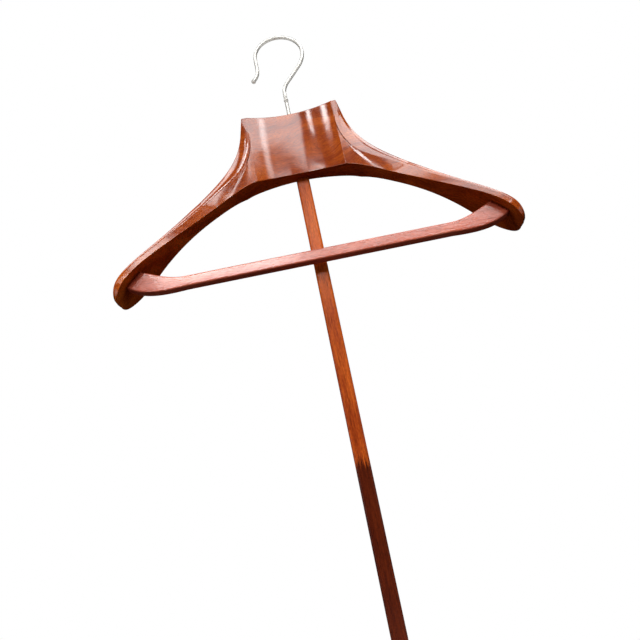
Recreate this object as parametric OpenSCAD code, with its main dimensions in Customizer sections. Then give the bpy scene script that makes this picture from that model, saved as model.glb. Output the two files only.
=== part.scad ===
// Clothes valet chair: a wide-shouldered coat hanger with a trouser bar and a turning hook, held by
// one square post that stands behind the seat of a small wooden chair.
// Frame: +X to the right as seen from the front, front faces -Y, +Z up, floor at z = 0.
// The hanger's own curves are drawn from the middle of its neck's top edge, right half only, as [x, z].

/* [Overall] */
// Height of the neck's top above the floor
neck_top_z = 1070; // [980:1:1140]
// From the seat's front edge to the back of the shoulders
overall_d = 368; // [350:1:420]
// Play left in every glued wood joint
joint_gap = 0.1; // [0.05:0.01:0.2]

/* [Neck] */
// Width of the neck block
neck_w = 112; // [104:1:122]
// Height of the neck block at its middle
neck_h = 87; // [80:1:94]
// Thickness of the neck block
neck_t = 23; // [22:0.5:26]
// Depth of the hollow in the neck's front
scoop_depth = 8.5; // [6:0.25:8.75]
// Width of the flat band on each side of the hollow
scoop_land = 6; // [4:0.5:10]
// Rise of the neck's underside from band to middle
neck_arch = 5.55; // [3:0.05:8]

/* [Shoulders] */
// Width across the shoulder tips
hanger_w = 435; // [415:1:455]
// Drop of the shoulder tips below the neck's top
tip_drop = 205.5; // [202:0.5:212]
// Thickness left at the rounded nose of a tip
tip_t = 4.2; // [3:0.1:5]
// Where the flare of the neck turns into the shoulder, measured out from the neck's side
flare_out = 72; // [66:1:78]
// Drop of that turning place
flare_drop = 113; // [108:1:118]
// Thickness of the wood where the arch meets the shoulder
root_t = 28.6; // [26:0.2:32]
// Forward lead of the shoulder's front edge at its tip
tip_lead = 10; // [6:0.5:14]
// Depth of the shoulder behind the neck's front at its widest
tip_reach = 42.6; // [38:0.2:48]
// Depth of the shoulder behind the neck's front at its waist
waist_reach = 14.5; // [13:0.5:18]
// Length over which a tip's front corner rounds off
front_round_l = 11; // [8:0.5:14]
// Length over which a tip's back corner rounds off
back_round_l = 17; // [14:0.5:20]
// Height of the crown along the shoulder's top
crown_h = 2; // [0:0.5:3]
// Rounding of the sharp edges
edge_r = 1.2; // [0.6:0.1:1.6]
// Greatest rounding of the shoulder's upper edges
flare_r = 6; // [4:0.25:6.5]

/* [Trouser bar] */
// Drop of the bar's upper edge below the neck's top
bar_drop = 191; // [186:0.5:194]
// Height of the bar
bar_h = 13; // [10:0.5:16]
// Thickness of the bar
bar_t = 10; // [7:0.5:12]
// Bar's front face behind the neck's front
bar_set = 2; // [0:0.25:3]
// Rise of the bar's upper edge at its ends
bar_rise = 15.6; // [12:0.2:18]
// Height of the bar's ends, where they meet the shoulders
bar_end_h = 16.4; // [13:0.2:18]
// Length of the curve at each end
bar_bend_l = 47; // [38:1:60]
// Diameter of the dowel in each end
dowel_d = 5; // [4:0.5:6]
// Length of that dowel
dowel_l = 18; // [14:1:20]

/* [Hook] */
// Diameter of the hook's wire
wire_d = 4.4; // [3.6:0.1:5]
// Height of the straight stem above the neck
stem_h = 38; // [32:1:46]
// Radius of the first bend, away from the stem
hook_lean_r = 27.3; // [22:0.5:34]
// Angle by which the wire leans out
hook_lean = 38; // [30:1:45]
// Straight run between the two lower bends
hook_run = 28.6; // [24:0.2:34]
// Radius of the bend that turns up into the loop
hook_rise_r = 40; // [34:1:46]
// Radius of the loop, to the middle of the wire
loop_r = 29.5; // [26:0.5:33]
// Straight run down the loop's open side
hook_fall = 18; // [12:1:24]
// Radius of the tip's outward flare
hook_tip_r = 23; // [18:1:28]
// Angle of the tip's outward flare
hook_tip_lean = 41; // [30:1:50]
// Diameter of the ball on the tip
hook_ball_d = 5.4; // [5.2:0.1:7]
// Height of the thin collar above the neck
collar_z = 27; // [20:1:30]
// Height of that collar
collar_h = 1.6; // [1:0.2:3]
// Diameter of that collar
collar_d = 5.6; // [5.4:0.1:6.5]
// Outside diameter of the bush in the neck
bush_d = 8; // [7:0.5:9]
// Length of the bush inside the neck
bush_l = 18; // [14:1:20]
// Diameter of the bush's flange
bush_flange_d = 12; // [10:0.5:13]
// Thickness of the bush's flange
bush_flange_t = 1.2; // [0.8:0.1:2]
// Running clearance around the turning stem
hook_play = 0.05; // [0.02:0.01:0.1]
// Height of the head that holds the stem under the bush
head_h = 2; // [1.5:0.1:3]
// End play of the stem between that head and the bush
head_play = 0.3; // [0.2:0.05:0.5]

/* [Post] */
// Side of the square post
post_s = 14.4; // [12:0.2:15]
// Radius of its long edges
post_r = 2.5; // [1:0.25:4]
// Post's front face behind the neck's front
post_set = 17; // [16:0.25:17.5]
// Distance from the neck's top down to the post's top
post_top_drop = 30; // [27:1:36]
// Height of the post's foot above the floor
post_foot_z = 130; // [120:1:134]
// Depth to which the post is let into the chair
post_let_in = 5; // [3:0.5:7]

/* [Seat] */
// Height of the seat
seat_z = 440; // [420:1:455]
// Width of the seat
seat_w = 400; // [390:1:430]
// Thickness of the seat
seat_t = 18; // [16:0.5:24]
// Radius of the seat's corners
seat_r = 10; // [4:1:10]
// Depth of the hollow in the seat's top
dish_depth = 4; // [1:0.5:6]
// Radius of that round hollow
dish_r = 150; // [120:5:170]

/* [Frame] */
// Width across the legs
frame_w = 380; // [360:1:385]
// Seat's overhang in front of the legs
seat_front_lap = 6; // [2:1:20]
// Side of a leg at its top
leg_top_s = 32; // [30:0.5:38]
// Side of a leg at its foot
leg_foot_s = 22; // [21:0.5:28]
// Straight part of a leg below the seat
leg_square_l = 72; // [66:1:100]
// Height of an apron
apron_h = 58; // [50:1:62]
// Thickness of an apron
apron_t = 18; // [14:0.5:20]
// Height of the stretchers' middle above the floor
stretcher_z = 150; // [146:1:170]
// Height of a stretcher
stretcher_h = 24; // [20:0.5:28]
// Thickness of a stretcher
stretcher_t = 16; // [12:0.5:18]
// Length of the aprons' tenons
tenon_l = 11; // [8:0.5:11]
// Length of the stretchers' tenons
peg_l = 8; // [5:0.5:8]
// Thickness of the tenons
tenon_t = 8; // [6:0.5:9]
// Shoulder left above and below a tenon
tenon_shoulder = 5; // [3:0.5:7]
// Length of a corner block along each apron
block_l = 58; // [52:1:64]
// Height of a corner block
block_h = 22; // [18:1:26]

/* [Hardware] */
// Diameter of the screws' shanks
screw_d = 4; // [3.5:0.1:4.5]
// Diameter of the screws' heads
screw_head_d = 8; // [7:0.1:9]
// Grip of the post's upper screws in the neck
neck_grip = 6; // [4:0.5:7]
// Grip of the post's lower screws in the chair
base_grip = 9; // [6:0.5:10]
// Grip of the corner blocks' screws in the aprons
block_grip = 12; // [8:0.5:13]
// Grip of the seat's screws in the seat
seat_grip = 11; // [8:0.5:13]
// Diameter of a foot glide
glide_d = 18; // [14:0.5:20]
// Thickness of a foot glide
glide_t = 3; // [2:0.5:5]
// Length of a foot glide's pin
glide_pin_l = 14; // [10:1:18]
// Diameter of a foot glide's pin
glide_pin_d = 3; // [2.4:0.1:4]

/* [Hidden] */

WOOD = [0.55, 0.22, 0.10];
DARK_WOOD = [0.42, 0.15, 0.07];
STEEL = [0.72, 0.72, 0.70];
BRASS = [0.78, 0.62, 0.32];
$fn = 48;

// Places shared by several pieces
half_d = overall_d / 2;
hanger_y = half_d - tip_reach;
hook_y = (scoop_depth + neck_t) / 2;
post_y = hanger_y + post_set;
apron_rear_y = post_y + post_let_in;
leg_rear_y = apron_rear_y - apron_t / 2 + leg_top_s / 2;
leg_front_y = -half_d + seat_front_lap;
frame_top_z = seat_z - seat_t;
apron_z = frame_top_z - apron_h;
leg_x = frame_w / 2 - leg_top_s / 2;
leg_front_mid = leg_front_y + leg_top_s / 2;
leg_rear_mid = leg_rear_y - leg_top_s / 2;
frame_mid_y = (leg_front_mid + leg_rear_mid) / 2;
square_z = frame_top_z - leg_square_l;

// ---------------------------------------------------------------- curves of the hanger
function bez(p, t) = pow(1 - t, 3) * p[0] + 3 * t * pow(1 - t, 2) * p[1]
    + 3 * t * t * (1 - t) * p[2] + pow(t, 3) * p[3];

// Parameter at which coordinate k of a rising or falling curve has the given value
function bez_at(p, k, value, lo = 0, hi = 1, turns = 30) =
    let (mid = (lo + hi) / 2)
    turns == 0 ? mid
    : (bez(p, mid)[k] - value) * (p[3][k] - p[0][k]) < 0 ? bez_at(p, k, value, mid, hi, turns - 1)
    : bez_at(p, k, value, lo, mid, turns - 1);

// A curve from a to b whose handles are shares of the way across and the way down
function spanned(a, b, start, end) =
    let (d = b - a) [a, a + [start[0] * d[0], start[1] * d[1]], b - [end[0] * d[0], end[1] * d[1]], b];

band_x = neck_w / 2 - scoop_land;
shoulder = [neck_w / 2 + flare_out, -flare_drop];
tip_top = [hanger_w / 2 - 0.5, -tip_drop];
tip_bottom = tip_top - tip_t * [0.71, 0.71];
arch_start = [band_x, -neck_h - neck_arch];
arch_end = shoulder - [root_t * 0.98, root_t * 0.196];

flare_curve = spanned([neck_w / 2, 0], shoulder, [0.117, 0.386], [0.874, 0.46]);
outer_curve = spanned(shoulder, tip_top, [0.624, 0.548], [0.0135, 0.362]);
arch_curve = spanned(arch_start, arch_end, [0.336, 0.142], [0.424, 0.53]);
under_curve = spanned(arch_end, tip_bottom, [0.695, 0.547], [0.113, 0.36]);

// Upper and lower outline, u from 0 at the neck's corner through 1 at the shoulder to 2 at the tip
function upper(u) = u <= 1 ? bez(flare_curve, u) : bez(outer_curve, u - 1);
function lower(v) = v <= 1 ? bez(arch_curve, v) : bez(under_curve, v - 1);
// The lower outline runs a little ahead, so that each section stands square to the shoulder
section_lead = 0.06;
function lower_for(u) = lower(u + section_lead * (1 - pow(u / 2, 4)));

// Front and back of the hanger seen from above, for a section whose underside lies at x
scoop_r = (band_x * band_x + scoop_depth * scoop_depth) / (2 * scoop_depth);
front_bend_x = band_x + neck_t;
tip_x = tip_bottom[0];
front_tip = [
    [tip_x - front_round_l, -0.97 * tip_lead], [tip_x - 0.45 * front_round_l, -tip_lead],
    [tip_x - 0.09 * front_round_l, -0.9 * tip_lead], [tip_x, -0.5 * tip_lead]
];
// Handle that brings the back's narrowest place to the waist's reach
waist_handle = 2.32 * waist_reach - 1.25 * neck_t - 0.222 * tip_reach;
waist_curve = [
    [neck_w / 2 + 0.43 * neck_t, neck_t],
    [(neck_w / 2 + tip_x) * 0.535, waist_handle],
    [tip_x - 1.88 * back_round_l, 1.11 * tip_reach],
    [tip_x - back_round_l, tip_reach]
];
back_tip = [
    [tip_x - back_round_l, tip_reach], [tip_x - 0.65 * back_round_l, 0.915 * tip_reach],
    [tip_x, 0.62 * tip_reach], [tip_x, 0.38 * tip_reach]
];
function scoop_y(x) = sqrt(scoop_r * scoop_r - x * x) - (scoop_r - scoop_depth);
function front_y(x) =
    x < band_x ? scoop_y(x)
    : x < front_bend_x ? 0
    : x < front_tip[0][0] ? front_tip[0][1] * (x - front_bend_x) / (front_tip[0][0] - front_bend_x)
    : bez(front_tip, bez_at(front_tip, 0, x))[1];
function back_y(x) =
    x < waist_curve[0][0] ? neck_t
    : x < back_tip[0][0] ? bez(waist_curve, bez_at(waist_curve, 0, x))[1]
    : bez(back_tip, bez_at(back_tip, 0, x))[1];

// Sections along the right half: [top point, bottom point, upper rounding, crown, closing angle]
neck_steps = 6;
flare_steps = 11;
outer_steps = 13;
nose_angles = [35, 62, 80];
function upper_r(u) = edge_r + (flare_r - edge_r) * sin(180 * pow(u / 2, 0.7));
neck_sections = [
    for (i = [0 : neck_steps])
        let (x = band_x * i / neck_steps)
        [[x, 0], [x, -neck_h - neck_arch * pow(x / band_x, 2)], edge_r, 0, 0]
];
wing_sections = [
    for (i = [0 : flare_steps + outer_steps])
        let (u = i <= flare_steps ? i / flare_steps : 1 + (i - flare_steps) / outer_steps)
        [upper(u), lower_for(u), upper_r(u), crown_h * sin(90 * min(u, 1)) * min(1, (2 - u) * 3), 0]
];
nose_mid = (tip_top + tip_bottom) / 2;
nose_out = tip_t / 2 * [0.71, -0.71];
nose_sections = [
    for (a = nose_angles)
        [
            nose_mid + (tip_top - nose_mid) * cos(a) + nose_out * sin(a),
            nose_mid + (tip_bottom - nose_mid) * cos(a) + nose_out * sin(a),
            edge_r * cos(a), 0, a
        ]
];
sections = concat(neck_sections, wing_sections, nose_sections);
last = len(sections) - 1;

function unit(v) = v / norm(v);
function right_of(d) = [d[1], -d[0]];
// Mitred inward direction of outline k (0 upper, 1 lower) at section i
function inward(i, k) =
    let (
        here = sections[i][k],
        before = i == 0 ? [-sections[1][k][0], sections[1][k][1]] : sections[i - 1][k],
        after = i == last ? here + (here - before) : sections[i + 1][k],
        n1 = right_of(unit(here - before)),
        n2 = right_of(unit(after - here))
    )
    (n1 + n2) / (1 + n1 * n2) * (k == 0 ? 1 : -1);

// Closed ring of points around section i, on side s (1 right, -1 left)
edge_steps = 3;
crown_steps = 4;
function ring(i, s) =
    let (
        sec = sections[i],
        x = min(sec[1][0], tip_x),
        y_mid = (front_y(x) + back_y(x)) / 2,
        half = (back_y(x) - front_y(x)) / 2 * sqrt(cos(sec[4])),
        front = y_mid - half,
        back = y_mid + half,
        top_in = inward(i, 0),
        low_in = inward(i, 1),
        r = sec[2],
        low_r = edge_r * cos(sec[4])
    )
    [
        for (p = concat(
            [for (j = [0 : edge_steps]) let (a = 90 * j / edge_steps)
                [sec[0] + top_in * r * (1 - sin(a)), front + r * (1 - cos(a))]],
            [for (j = [1 : crown_steps - 1]) let (w = j / crown_steps)
                [sec[0] - top_in * sec[3] * 4 * w * (1 - w), front + r + w * (back - front - 2 * r)]],
            [for (j = [edge_steps : -1 : 0]) let (a = 90 * j / edge_steps)
                [sec[0] + top_in * r * (1 - sin(a)), back - r * (1 - cos(a))]],
            [[(sec[0] + sec[1]) / 2, back]],
            [for (j = [0 : edge_steps]) let (a = 90 * j / edge_steps)
                [sec[1] + low_in * low_r * (1 - sin(a)), back - low_r * (1 - cos(a))]],
            [for (j = [edge_steps : -1 : 0]) let (a = 90 * j / edge_steps)
                [sec[1] + low_in * low_r * (1 - sin(a)), front + low_r * (1 - cos(a))]],
            [[(sec[0] + sec[1]) / 2, front]]
        ))
        [s * p[0][0], p[1], p[0][1]]
    ];

module hanger_loft() {
    rings = concat([for (i = [last : -1 : 1]) ring(i, -1)], [for (i = [0 : last]) ring(i, 1)]);
    n = len(rings[0]);
    count = len(rings);
    nose = nose_mid + nose_out;
    nose_y = (front_y(tip_x) + back_y(tip_x)) / 2;
    points = concat([for (r = rings) each r], [[-nose[0], nose_y, nose[1]], [nose[0], nose_y, nose[1]]]);
    faces = concat(
        [for (i = [0 : count - 2], k = [0 : n - 1]) let (q = (k + 1) % n)
            [i * n + k, i * n + q, (i + 1) * n + q]],
        [for (i = [0 : count - 2], k = [0 : n - 1]) let (q = (k + 1) % n)
            [i * n + k, (i + 1) * n + q, (i + 1) * n + k]],
        [for (k = [0 : n - 1]) [count * n, (k + 1) % n, k]],
        [for (k = [0 : n - 1]) [count * n + 1, (count - 1) * n + k, (count - 1) * n + (k + 1) % n]]
    );
    polyhedron(points, faces);
}

// ---------------------------------------------------------------- hanger, bar and dowels
module on_hanger() {
    translate([0, hanger_y, neck_top_z])
        children();
}

module both_sides() {
    children();
    mirror([1, 0, 0])
        children();
}

// Extrudes an [x, z] outline from y0 backwards by depth
module extrude_back(y0, depth) {
    translate([0, y0 + depth, 0])
        rotate([90, 0, 0])
            linear_extrude(depth)
                children();
}

// Ends of the bar on the shoulder's underside
bar_top_end = bez(under_curve, bez_at(under_curve, 1, -bar_drop + bar_rise));
bar_low_end = bez(under_curve, bez_at(under_curve, 1, -bar_drop + bar_rise - bar_end_h));
bar_bend_x = bar_top_end[0] - bar_bend_l;
bar_mid_y = bar_set + bar_t / 2;
bar_seat = (bar_top_end + bar_low_end) / 2;
bar_seat_out = unit([bar_top_end[1] - bar_low_end[1], bar_low_end[0] - bar_top_end[0]]);
bar_top_curve = [
    [bar_bend_x, -bar_drop], [bar_bend_x + 0.34 * bar_bend_l, -bar_drop],
    bar_top_end - [0.36 * bar_bend_l, 0.5 * bar_rise], bar_top_end
];
bar_low_curve = [
    [bar_bend_x, -bar_drop - bar_h], [bar_bend_x + 0.64 * bar_bend_l, -bar_drop - 1.15 * bar_h],
    bar_low_end - bar_bend_l * [0.285, 0.249], bar_low_end
];
bar_steps = 12;
bar_run_on = bar_end_h / 2;

module bar_outline() {
    right = concat(
        [for (i = [0 : bar_steps]) bez(bar_top_curve, i / bar_steps)],
        [bar_top_end + bar_run_on * unit([1, 0.45]), bar_low_end + bar_run_on * unit([1, 0.6])],
        [for (i = [bar_steps : -1 : 0]) bez(bar_low_curve, i / bar_steps)]
    );
    left = [for (i = [len(right) - 1 : -1 : 0]) [-right[i][0], right[i][1]]];
    polygon(concat(right, left));
}

// Everything above the underside of a shoulder
module above_underside() {
    under = [for (s = wing_sections) s[1]];
    polygon(concat(under, [tip_bottom + tip_reach * [1, -0.5], [tip_x + tip_reach, 0], [band_x, 0]]));
}

module trouser_bar() {
    color(WOOD)
        on_hanger()
            difference() {
                extrude_back(bar_set, bar_t)
                    difference() {
                        bar_outline();
                        both_sides()
                            above_underside();
                    }
                dowel_pair(joint_gap / 2);
            }
}

// Dowels through the seats of the bar's ends; play widens and lengthens them into holes
dowel_in_wing = 0.3;
module dowel_pair(play) {
    both_sides()
        translate([bar_seat[0], bar_mid_y, bar_seat[1]])
            rotate([0, atan2(bar_seat_out[0], bar_seat_out[1]), 0])
                translate([0, 0, -(1 - dowel_in_wing) * dowel_l - play])
                    cylinder(h = dowel_l + 2 * play, d = dowel_d + 2 * play);
}

module bar_dowels() {
    color(DARK_WOOD)
        on_hanger()
            dowel_pair(0);
}

module hanger_body() {
    color(WOOD)
        on_hanger()
            difference() {
                hanger_loft();
                hook_bore();
                post_blank(joint_gap, post_top_drop - joint_gap);
                neck_screw_places()
                    pilot(neck_grip);
                dowel_pair(joint_gap / 2);
            }
}

// ---------------------------------------------------------------- hook and its bush
head_d = (wire_d + bush_d) / 2;
bore_depth = bush_l + head_h + 3 * head_play;

module hook_bore() {
    translate([0, hook_y, -bore_depth])
        cylinder(h = bore_depth + 1, d = bush_d + joint_gap);
}

// The wire's middle line above the collar, as [x, z, heading], heading 0 up and 90 towards +X.
// Each move is [radius, turn] for a bend, or [0, length] for a straight run.
hook_moves = [
    [0, stem_h - collar_z - collar_h * 0.7], [hook_lean_r, hook_lean], [0, hook_run],
    [-hook_rise_r, hook_lean], [-loop_r, 180], [0, hook_fall], [hook_tip_r, hook_tip_lean]
];
bend_step = 7;
function sideways(h) = [cos(h), -sin(h)];
function trail(at, h, i = 0) =
    i == len(hook_moves) ? [[at[0], at[1], h]]
    : hook_moves[i][0] == 0
        ? concat([[at[0], at[1], h]], trail(at + hook_moves[i][1] * [sin(h), cos(h)], h, i + 1))
        : let (
            r = hook_moves[i][0],
            turn = hook_moves[i][1] * sign(r),
            steps = ceil(hook_moves[i][1] / bend_step),
            centre = at + r * sideways(h),
            end = centre - r * sideways(h + turn)
        )
        concat(
            [for (j = [0 : steps - 1]) let (a = h + turn * j / steps, p = centre - r * sideways(a))
                [p[0], p[1], a]],
            trail(end, h + turn, i + 1)
        );

wire_sides = 16;
module hook_wire() {
    line = trail([0, collar_z + collar_h * 0.7], 0);
    count = len(line);
    points = [
        for (p = line, k = [0 : wire_sides - 1])
            let (a = 360 * k / wire_sides, out = wire_d / 2 * cos(a))
            [p[0] + out * cos(p[2]), wire_d / 2 * sin(a), p[1] - out * sin(p[2])]
    ];
    faces = concat(
        [for (i = [0 : count - 2], k = [0 : wire_sides - 1]) let (q = (k + 1) % wire_sides)
            [i * wire_sides + q, i * wire_sides + k, (i + 1) * wire_sides + k, (i + 1) * wire_sides + q]],
        [[for (k = [0 : wire_sides - 1]) k]],
        [[for (k = [wire_sides - 1 : -1 : 0]) (count - 1) * wire_sides + k]]
    );
    polyhedron(points, faces);
    translate([line[count - 1][0], 0, line[count - 1][1]])
        sphere(d = hook_ball_d);
}

module hook() {
    foot = -bush_l - head_play - head_h;
    color(STEEL)
        on_hanger()
            translate([0, hook_y, 0]) {
                translate([0, 0, foot])
                    cylinder(h = head_h, d = head_d);
                translate([0, 0, foot])
                    cylinder(h = collar_z + collar_h * 0.3 - foot, d = wire_d);
                translate([0, 0, collar_z])
                    cylinder(h = collar_h, d = collar_d);
                hook_wire();
            }
}

module hook_bush() {
    color(BRASS)
        on_hanger()
            translate([0, hook_y, 0])
                difference() {
                    union() {
                        translate([0, 0, -bush_l])
                            cylinder(h = bush_l + bush_flange_t / 2, d = bush_d);
                        cylinder(h = bush_flange_t, d = bush_flange_d);
                    }
                    translate([0, 0, -bush_l - 1])
                        cylinder(h = bush_l + bush_flange_t + 2, d = wire_d + 2 * hook_play);
                }
}

// ---------------------------------------------------------------- post and its screws
// The post's square, with round corners, centred on x and starting at y = 0
module post_profile(play) {
    side = post_s + 2 * play;
    inset = side / 2 - post_r;
    translate([0, post_s / 2]) {
        square([side, 2 * inset], center = true);
        square([2 * inset, side], center = true);
        for (x = [-inset, inset], y = [-inset, inset])
            translate([x, y])
                circle(r = post_r);
    }
}

// The post in the hanger's frame, its top at the given drop
module post_blank(play, drop) {
    translate([0, post_set, post_foot_z - neck_top_z - play])
        linear_extrude(neck_top_z - drop - post_foot_z + play)
            post_profile(play);
}

// Countersunk wood screw: head at the origin, pointing along -Z
module screw(l) {
    tip_l = screw_d * 0.9;
    head_cone = (screw_head_d - screw_d) / 2;
    difference() {
        union() {
            translate([0, 0, -head_cone])
                cylinder(h = head_cone, d1 = screw_d, d2 = screw_head_d);
            translate([0, 0, -l + tip_l])
                cylinder(h = l - tip_l, d = screw_d);
            translate([0, 0, -l])
                cylinder(h = tip_l, d1 = 0.6, d2 = screw_d);
        }
        for (a = [0, 90])
            rotate([0, 0, a])
                cube([screw_head_d * 0.55, 1, 2.4], center = true);
    }
}

// Countersunk clearance hole for a screw, through a piece of the given thickness
module screw_way(through) {
    head_cone = (screw_head_d - screw_d) / 2;
    translate([0, 0, -through - 1])
        cylinder(h = through + 2, d = screw_d + joint_gap);
    translate([0, 0, -head_cone - joint_gap])
        cylinder(h = head_cone + joint_gap + 0.01, d1 = screw_d, d2 = screw_head_d + 2 * joint_gap);
    cylinder(h = 1, d = screw_head_d + 2 * joint_gap);
}

// Pilot hole that starts at the joint face, a little deeper than the screw's grip
module pilot(grip) {
    translate([0, 0, -grip - 2 * joint_gap])
        cylinder(h = grip + 2 * joint_gap + 1, d = screw_d + joint_gap);
}

// Children placed at each screw, along -Z out of the piece they enter, at the joint face
neck_screw_drops = [post_top_drop + 16, neck_h - 15];
module neck_screw_places() {
    for (drop = neck_screw_drops)
        translate([0, post_set, -drop])
            rotate([-90, 0, 0])
                children();
}

base_screw_zs = [frame_top_z - apron_h * 0.28, frame_top_z - apron_h * 0.76, stretcher_z];
module base_screw_places() {
    for (z = base_screw_zs)
        translate([0, post_y, z])
            rotate([-90, 0, 0])
                children();
}

module post() {
    color(WOOD)
        difference() {
            on_hanger()
                post_blank(0, post_top_drop);
            on_hanger()
                neck_screw_places()
                    translate([0, 0, post_s])
                        screw_way(post_s);
            base_screw_places()
                translate([0, 0, post_s])
                    screw_way(post_s);
        }
}

module post_neck_screws() {
    color(BRASS)
        on_hanger()
            neck_screw_places()
                translate([0, 0, post_s])
                    screw(post_s + neck_grip);
}

module post_base_screws() {
    color(BRASS)
        base_screw_places()
            translate([0, 0, post_s])
                screw(post_s + base_grip);
}

// ---------------------------------------------------------------- chair frame
// A rail between two legs, lying along X about its own middle, with a tenon of the given length
module rail(l, h, t, tenon) {
    cube([l, t, h], center = true);
    cube([l + 2 * tenon, tenon_t, h - 2 * tenon_shoulder], center = true);
}

// The room that a rail needs in the pieces it enters
module rail_room(l, h, t, tenon) {
    cube([l, t + 2 * joint_gap, h + 2 * joint_gap], center = true);
    cube([
        l + 2 * tenon + 2 * joint_gap, tenon_t + 2 * joint_gap,
        h - 2 * tenon_shoulder + 2 * joint_gap
    ], center = true);
}

// Side of a leg's square at height z
function leg_side(z) =
    z > square_z ? leg_top_s
    : leg_foot_s + (leg_top_s - leg_foot_s) * (z - glide_t) / (square_z - glide_t);

apron_mid_z = apron_z + apron_h / 2;
apron_x_l = frame_w - 2 * leg_top_s;
apron_y_l = leg_rear_mid - leg_front_mid - leg_top_s;
low_leg_s = leg_side(stretcher_z - stretcher_h / 2);
stretcher_x_l = frame_w - 2 * low_leg_s;
stretcher_y_l = leg_rear_y - leg_front_y - 2 * low_leg_s;
side_stretcher_x = frame_w / 2 - low_leg_s / 2;
stretcher_rear_y = apron_rear_y - stretcher_t / 2;
cross_l = 2 * side_stretcher_x - stretcher_t;

// Places of the rails, each drawn along X about its own middle
module across(y, z) {
    translate([0, y, z])
        children();
}

module alongside(side, x, z) {
    translate([side * x, frame_mid_y, z])
        rotate([0, 0, 90])
            children();
}

// Everything that the rails need cut out of the legs
module all_rail_rooms() {
    for (y = [leg_front_mid, leg_rear_mid])
        across(y, apron_mid_z)
            rail_room(apron_x_l, apron_h, apron_t, tenon_l);
    for (side = [-1, 1]) {
        alongside(side, leg_x, apron_mid_z)
            rail_room(apron_y_l, apron_h, apron_t, tenon_l);
        alongside(side, side_stretcher_x, stretcher_z)
            rail_room(stretcher_y_l, stretcher_h, stretcher_t, peg_l);
    }
    across(stretcher_rear_y, stretcher_z)
        rail_room(stretcher_x_l, stretcher_h, stretcher_t, peg_l);
}

// Leg whose outer sides are plumb; its two inner sides taper below the aprons
module leg(side_x, side_y) {
    outer_y = side_y > 0 ? leg_rear_y : leg_front_y;
    color(WOOD)
        difference() {
            translate([side_x * frame_w / 2, outer_y, square_z])
                mirror([side_x > 0 ? 1 : 0, 0, 0])
                    mirror([0, side_y > 0 ? 1 : 0, 0]) {
                        cube([leg_top_s, leg_top_s, leg_square_l]);
                        mirror([0, 0, 1])
                            linear_extrude(square_z - glide_t, scale = leg_foot_s / leg_top_s)
                                square(leg_top_s);
                    }
            all_rail_rooms();
            glide_places()
                glide_pin(joint_gap);
        }
}

module front_left_leg() { leg(-1, -1); }
module front_right_leg() { leg(1, -1); }
module rear_left_leg() { leg(-1, 1); }
module rear_right_leg() { leg(1, 1); }

module front_apron() {
    color(WOOD)
        difference() {
            across(leg_front_mid, apron_mid_z)
                rail(apron_x_l, apron_h, apron_t, tenon_l);
            block_screw_places()
                pilot(block_grip);
        }
}

module rear_apron() {
    color(WOOD)
        difference() {
            across(leg_rear_mid, apron_mid_z)
                rail(apron_x_l, apron_h, apron_t, tenon_l);
            on_hanger()
                post_blank(joint_gap, post_top_drop);
            base_screw_places()
                pilot(base_grip);
            block_screw_places()
                pilot(block_grip);
        }
}

module side_apron(side) {
    color(WOOD)
        difference() {
            alongside(side, leg_x, apron_mid_z)
                rail(apron_y_l, apron_h, apron_t, tenon_l);
            block_screw_places()
                pilot(block_grip);
        }
}

module left_apron() { side_apron(-1); }
module right_apron() { side_apron(1); }

module side_stretcher(side) {
    color(WOOD)
        difference() {
            alongside(side, side_stretcher_x, stretcher_z)
                rail(stretcher_y_l, stretcher_h, stretcher_t, peg_l);
            across(frame_mid_y, stretcher_z)
                rail_room(cross_l, stretcher_h, stretcher_t, stretcher_t / 2);
        }
}

module left_stretcher() { side_stretcher(-1); }
module right_stretcher() { side_stretcher(1); }

module cross_stretcher() {
    color(WOOD)
        across(frame_mid_y, stretcher_z)
            rail(cross_l, stretcher_h, stretcher_t, stretcher_t / 2);
}

module rear_stretcher() {
    color(WOOD)
        difference() {
            across(stretcher_rear_y, stretcher_z)
                rail(stretcher_x_l, stretcher_h, stretcher_t, peg_l);
            on_hanger()
                post_blank(joint_gap, post_top_drop);
            base_screw_places()
                pilot(base_grip);
        }
}

// ---------------------------------------------------------------- corner blocks and seat
// Puts children in each inner corner of the aprons, +X and +Y pointing into the frame,
// z = 0 at the aprons' upper edges
corner_x = leg_x - apron_t / 2;
module at_corners() {
    for (side_x = [-1, 1], side_y = [-1, 1])
        translate([
            side_x * corner_x,
            side_y > 0 ? leg_rear_mid - apron_t / 2 : leg_front_mid + apron_t / 2,
            frame_top_z
        ])
            mirror([side_x > 0 ? 1 : 0, 0, 0])
                mirror([0, side_y > 0 ? 1 : 0, 0])
                    children();
}

leg_inset = (leg_top_s - apron_t) / 2 + joint_gap;
block_screw_along = block_l * 0.62;
block_screw_seat = block_l - block_screw_along - screw_head_d / 2 - 2;
module block_screw_places() {
    at_corners()
        for (flip = [0, 1])
            mirror([flip, -flip, 0])
                translate([block_screw_along, 0, -block_h / 2])
                    rotate([-90, 0, 0])
                        children();
}

seat_screw_at = block_l * 0.36;
module seat_screw_places() {
    at_corners()
        translate([seat_screw_at, seat_screw_at, 0])
            rotate([180, 0, 0])
                children();
}

module corner_blocks() {
    color(DARK_WOOD)
        difference() {
            at_corners()
                translate([0, 0, -block_h])
                    linear_extrude(block_h)
                        polygon([
                            [leg_inset, 0], [block_l, 0], [0, block_l],
                            [0, leg_inset], [leg_inset, leg_inset]
                        ]);
            block_screw_places()
                translate([0, 0, block_screw_seat]) {
                    screw_way(block_screw_seat);
                    cylinder(h = block_l, d = screw_head_d + 2 * joint_gap);
                }
            seat_screw_places()
                translate([0, 0, block_h])
                    screw_way(block_h);
        }
}

module corner_block_screws() {
    color(BRASS)
        block_screw_places()
            translate([0, 0, block_screw_seat])
                screw(block_screw_seat + block_grip);
}

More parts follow.
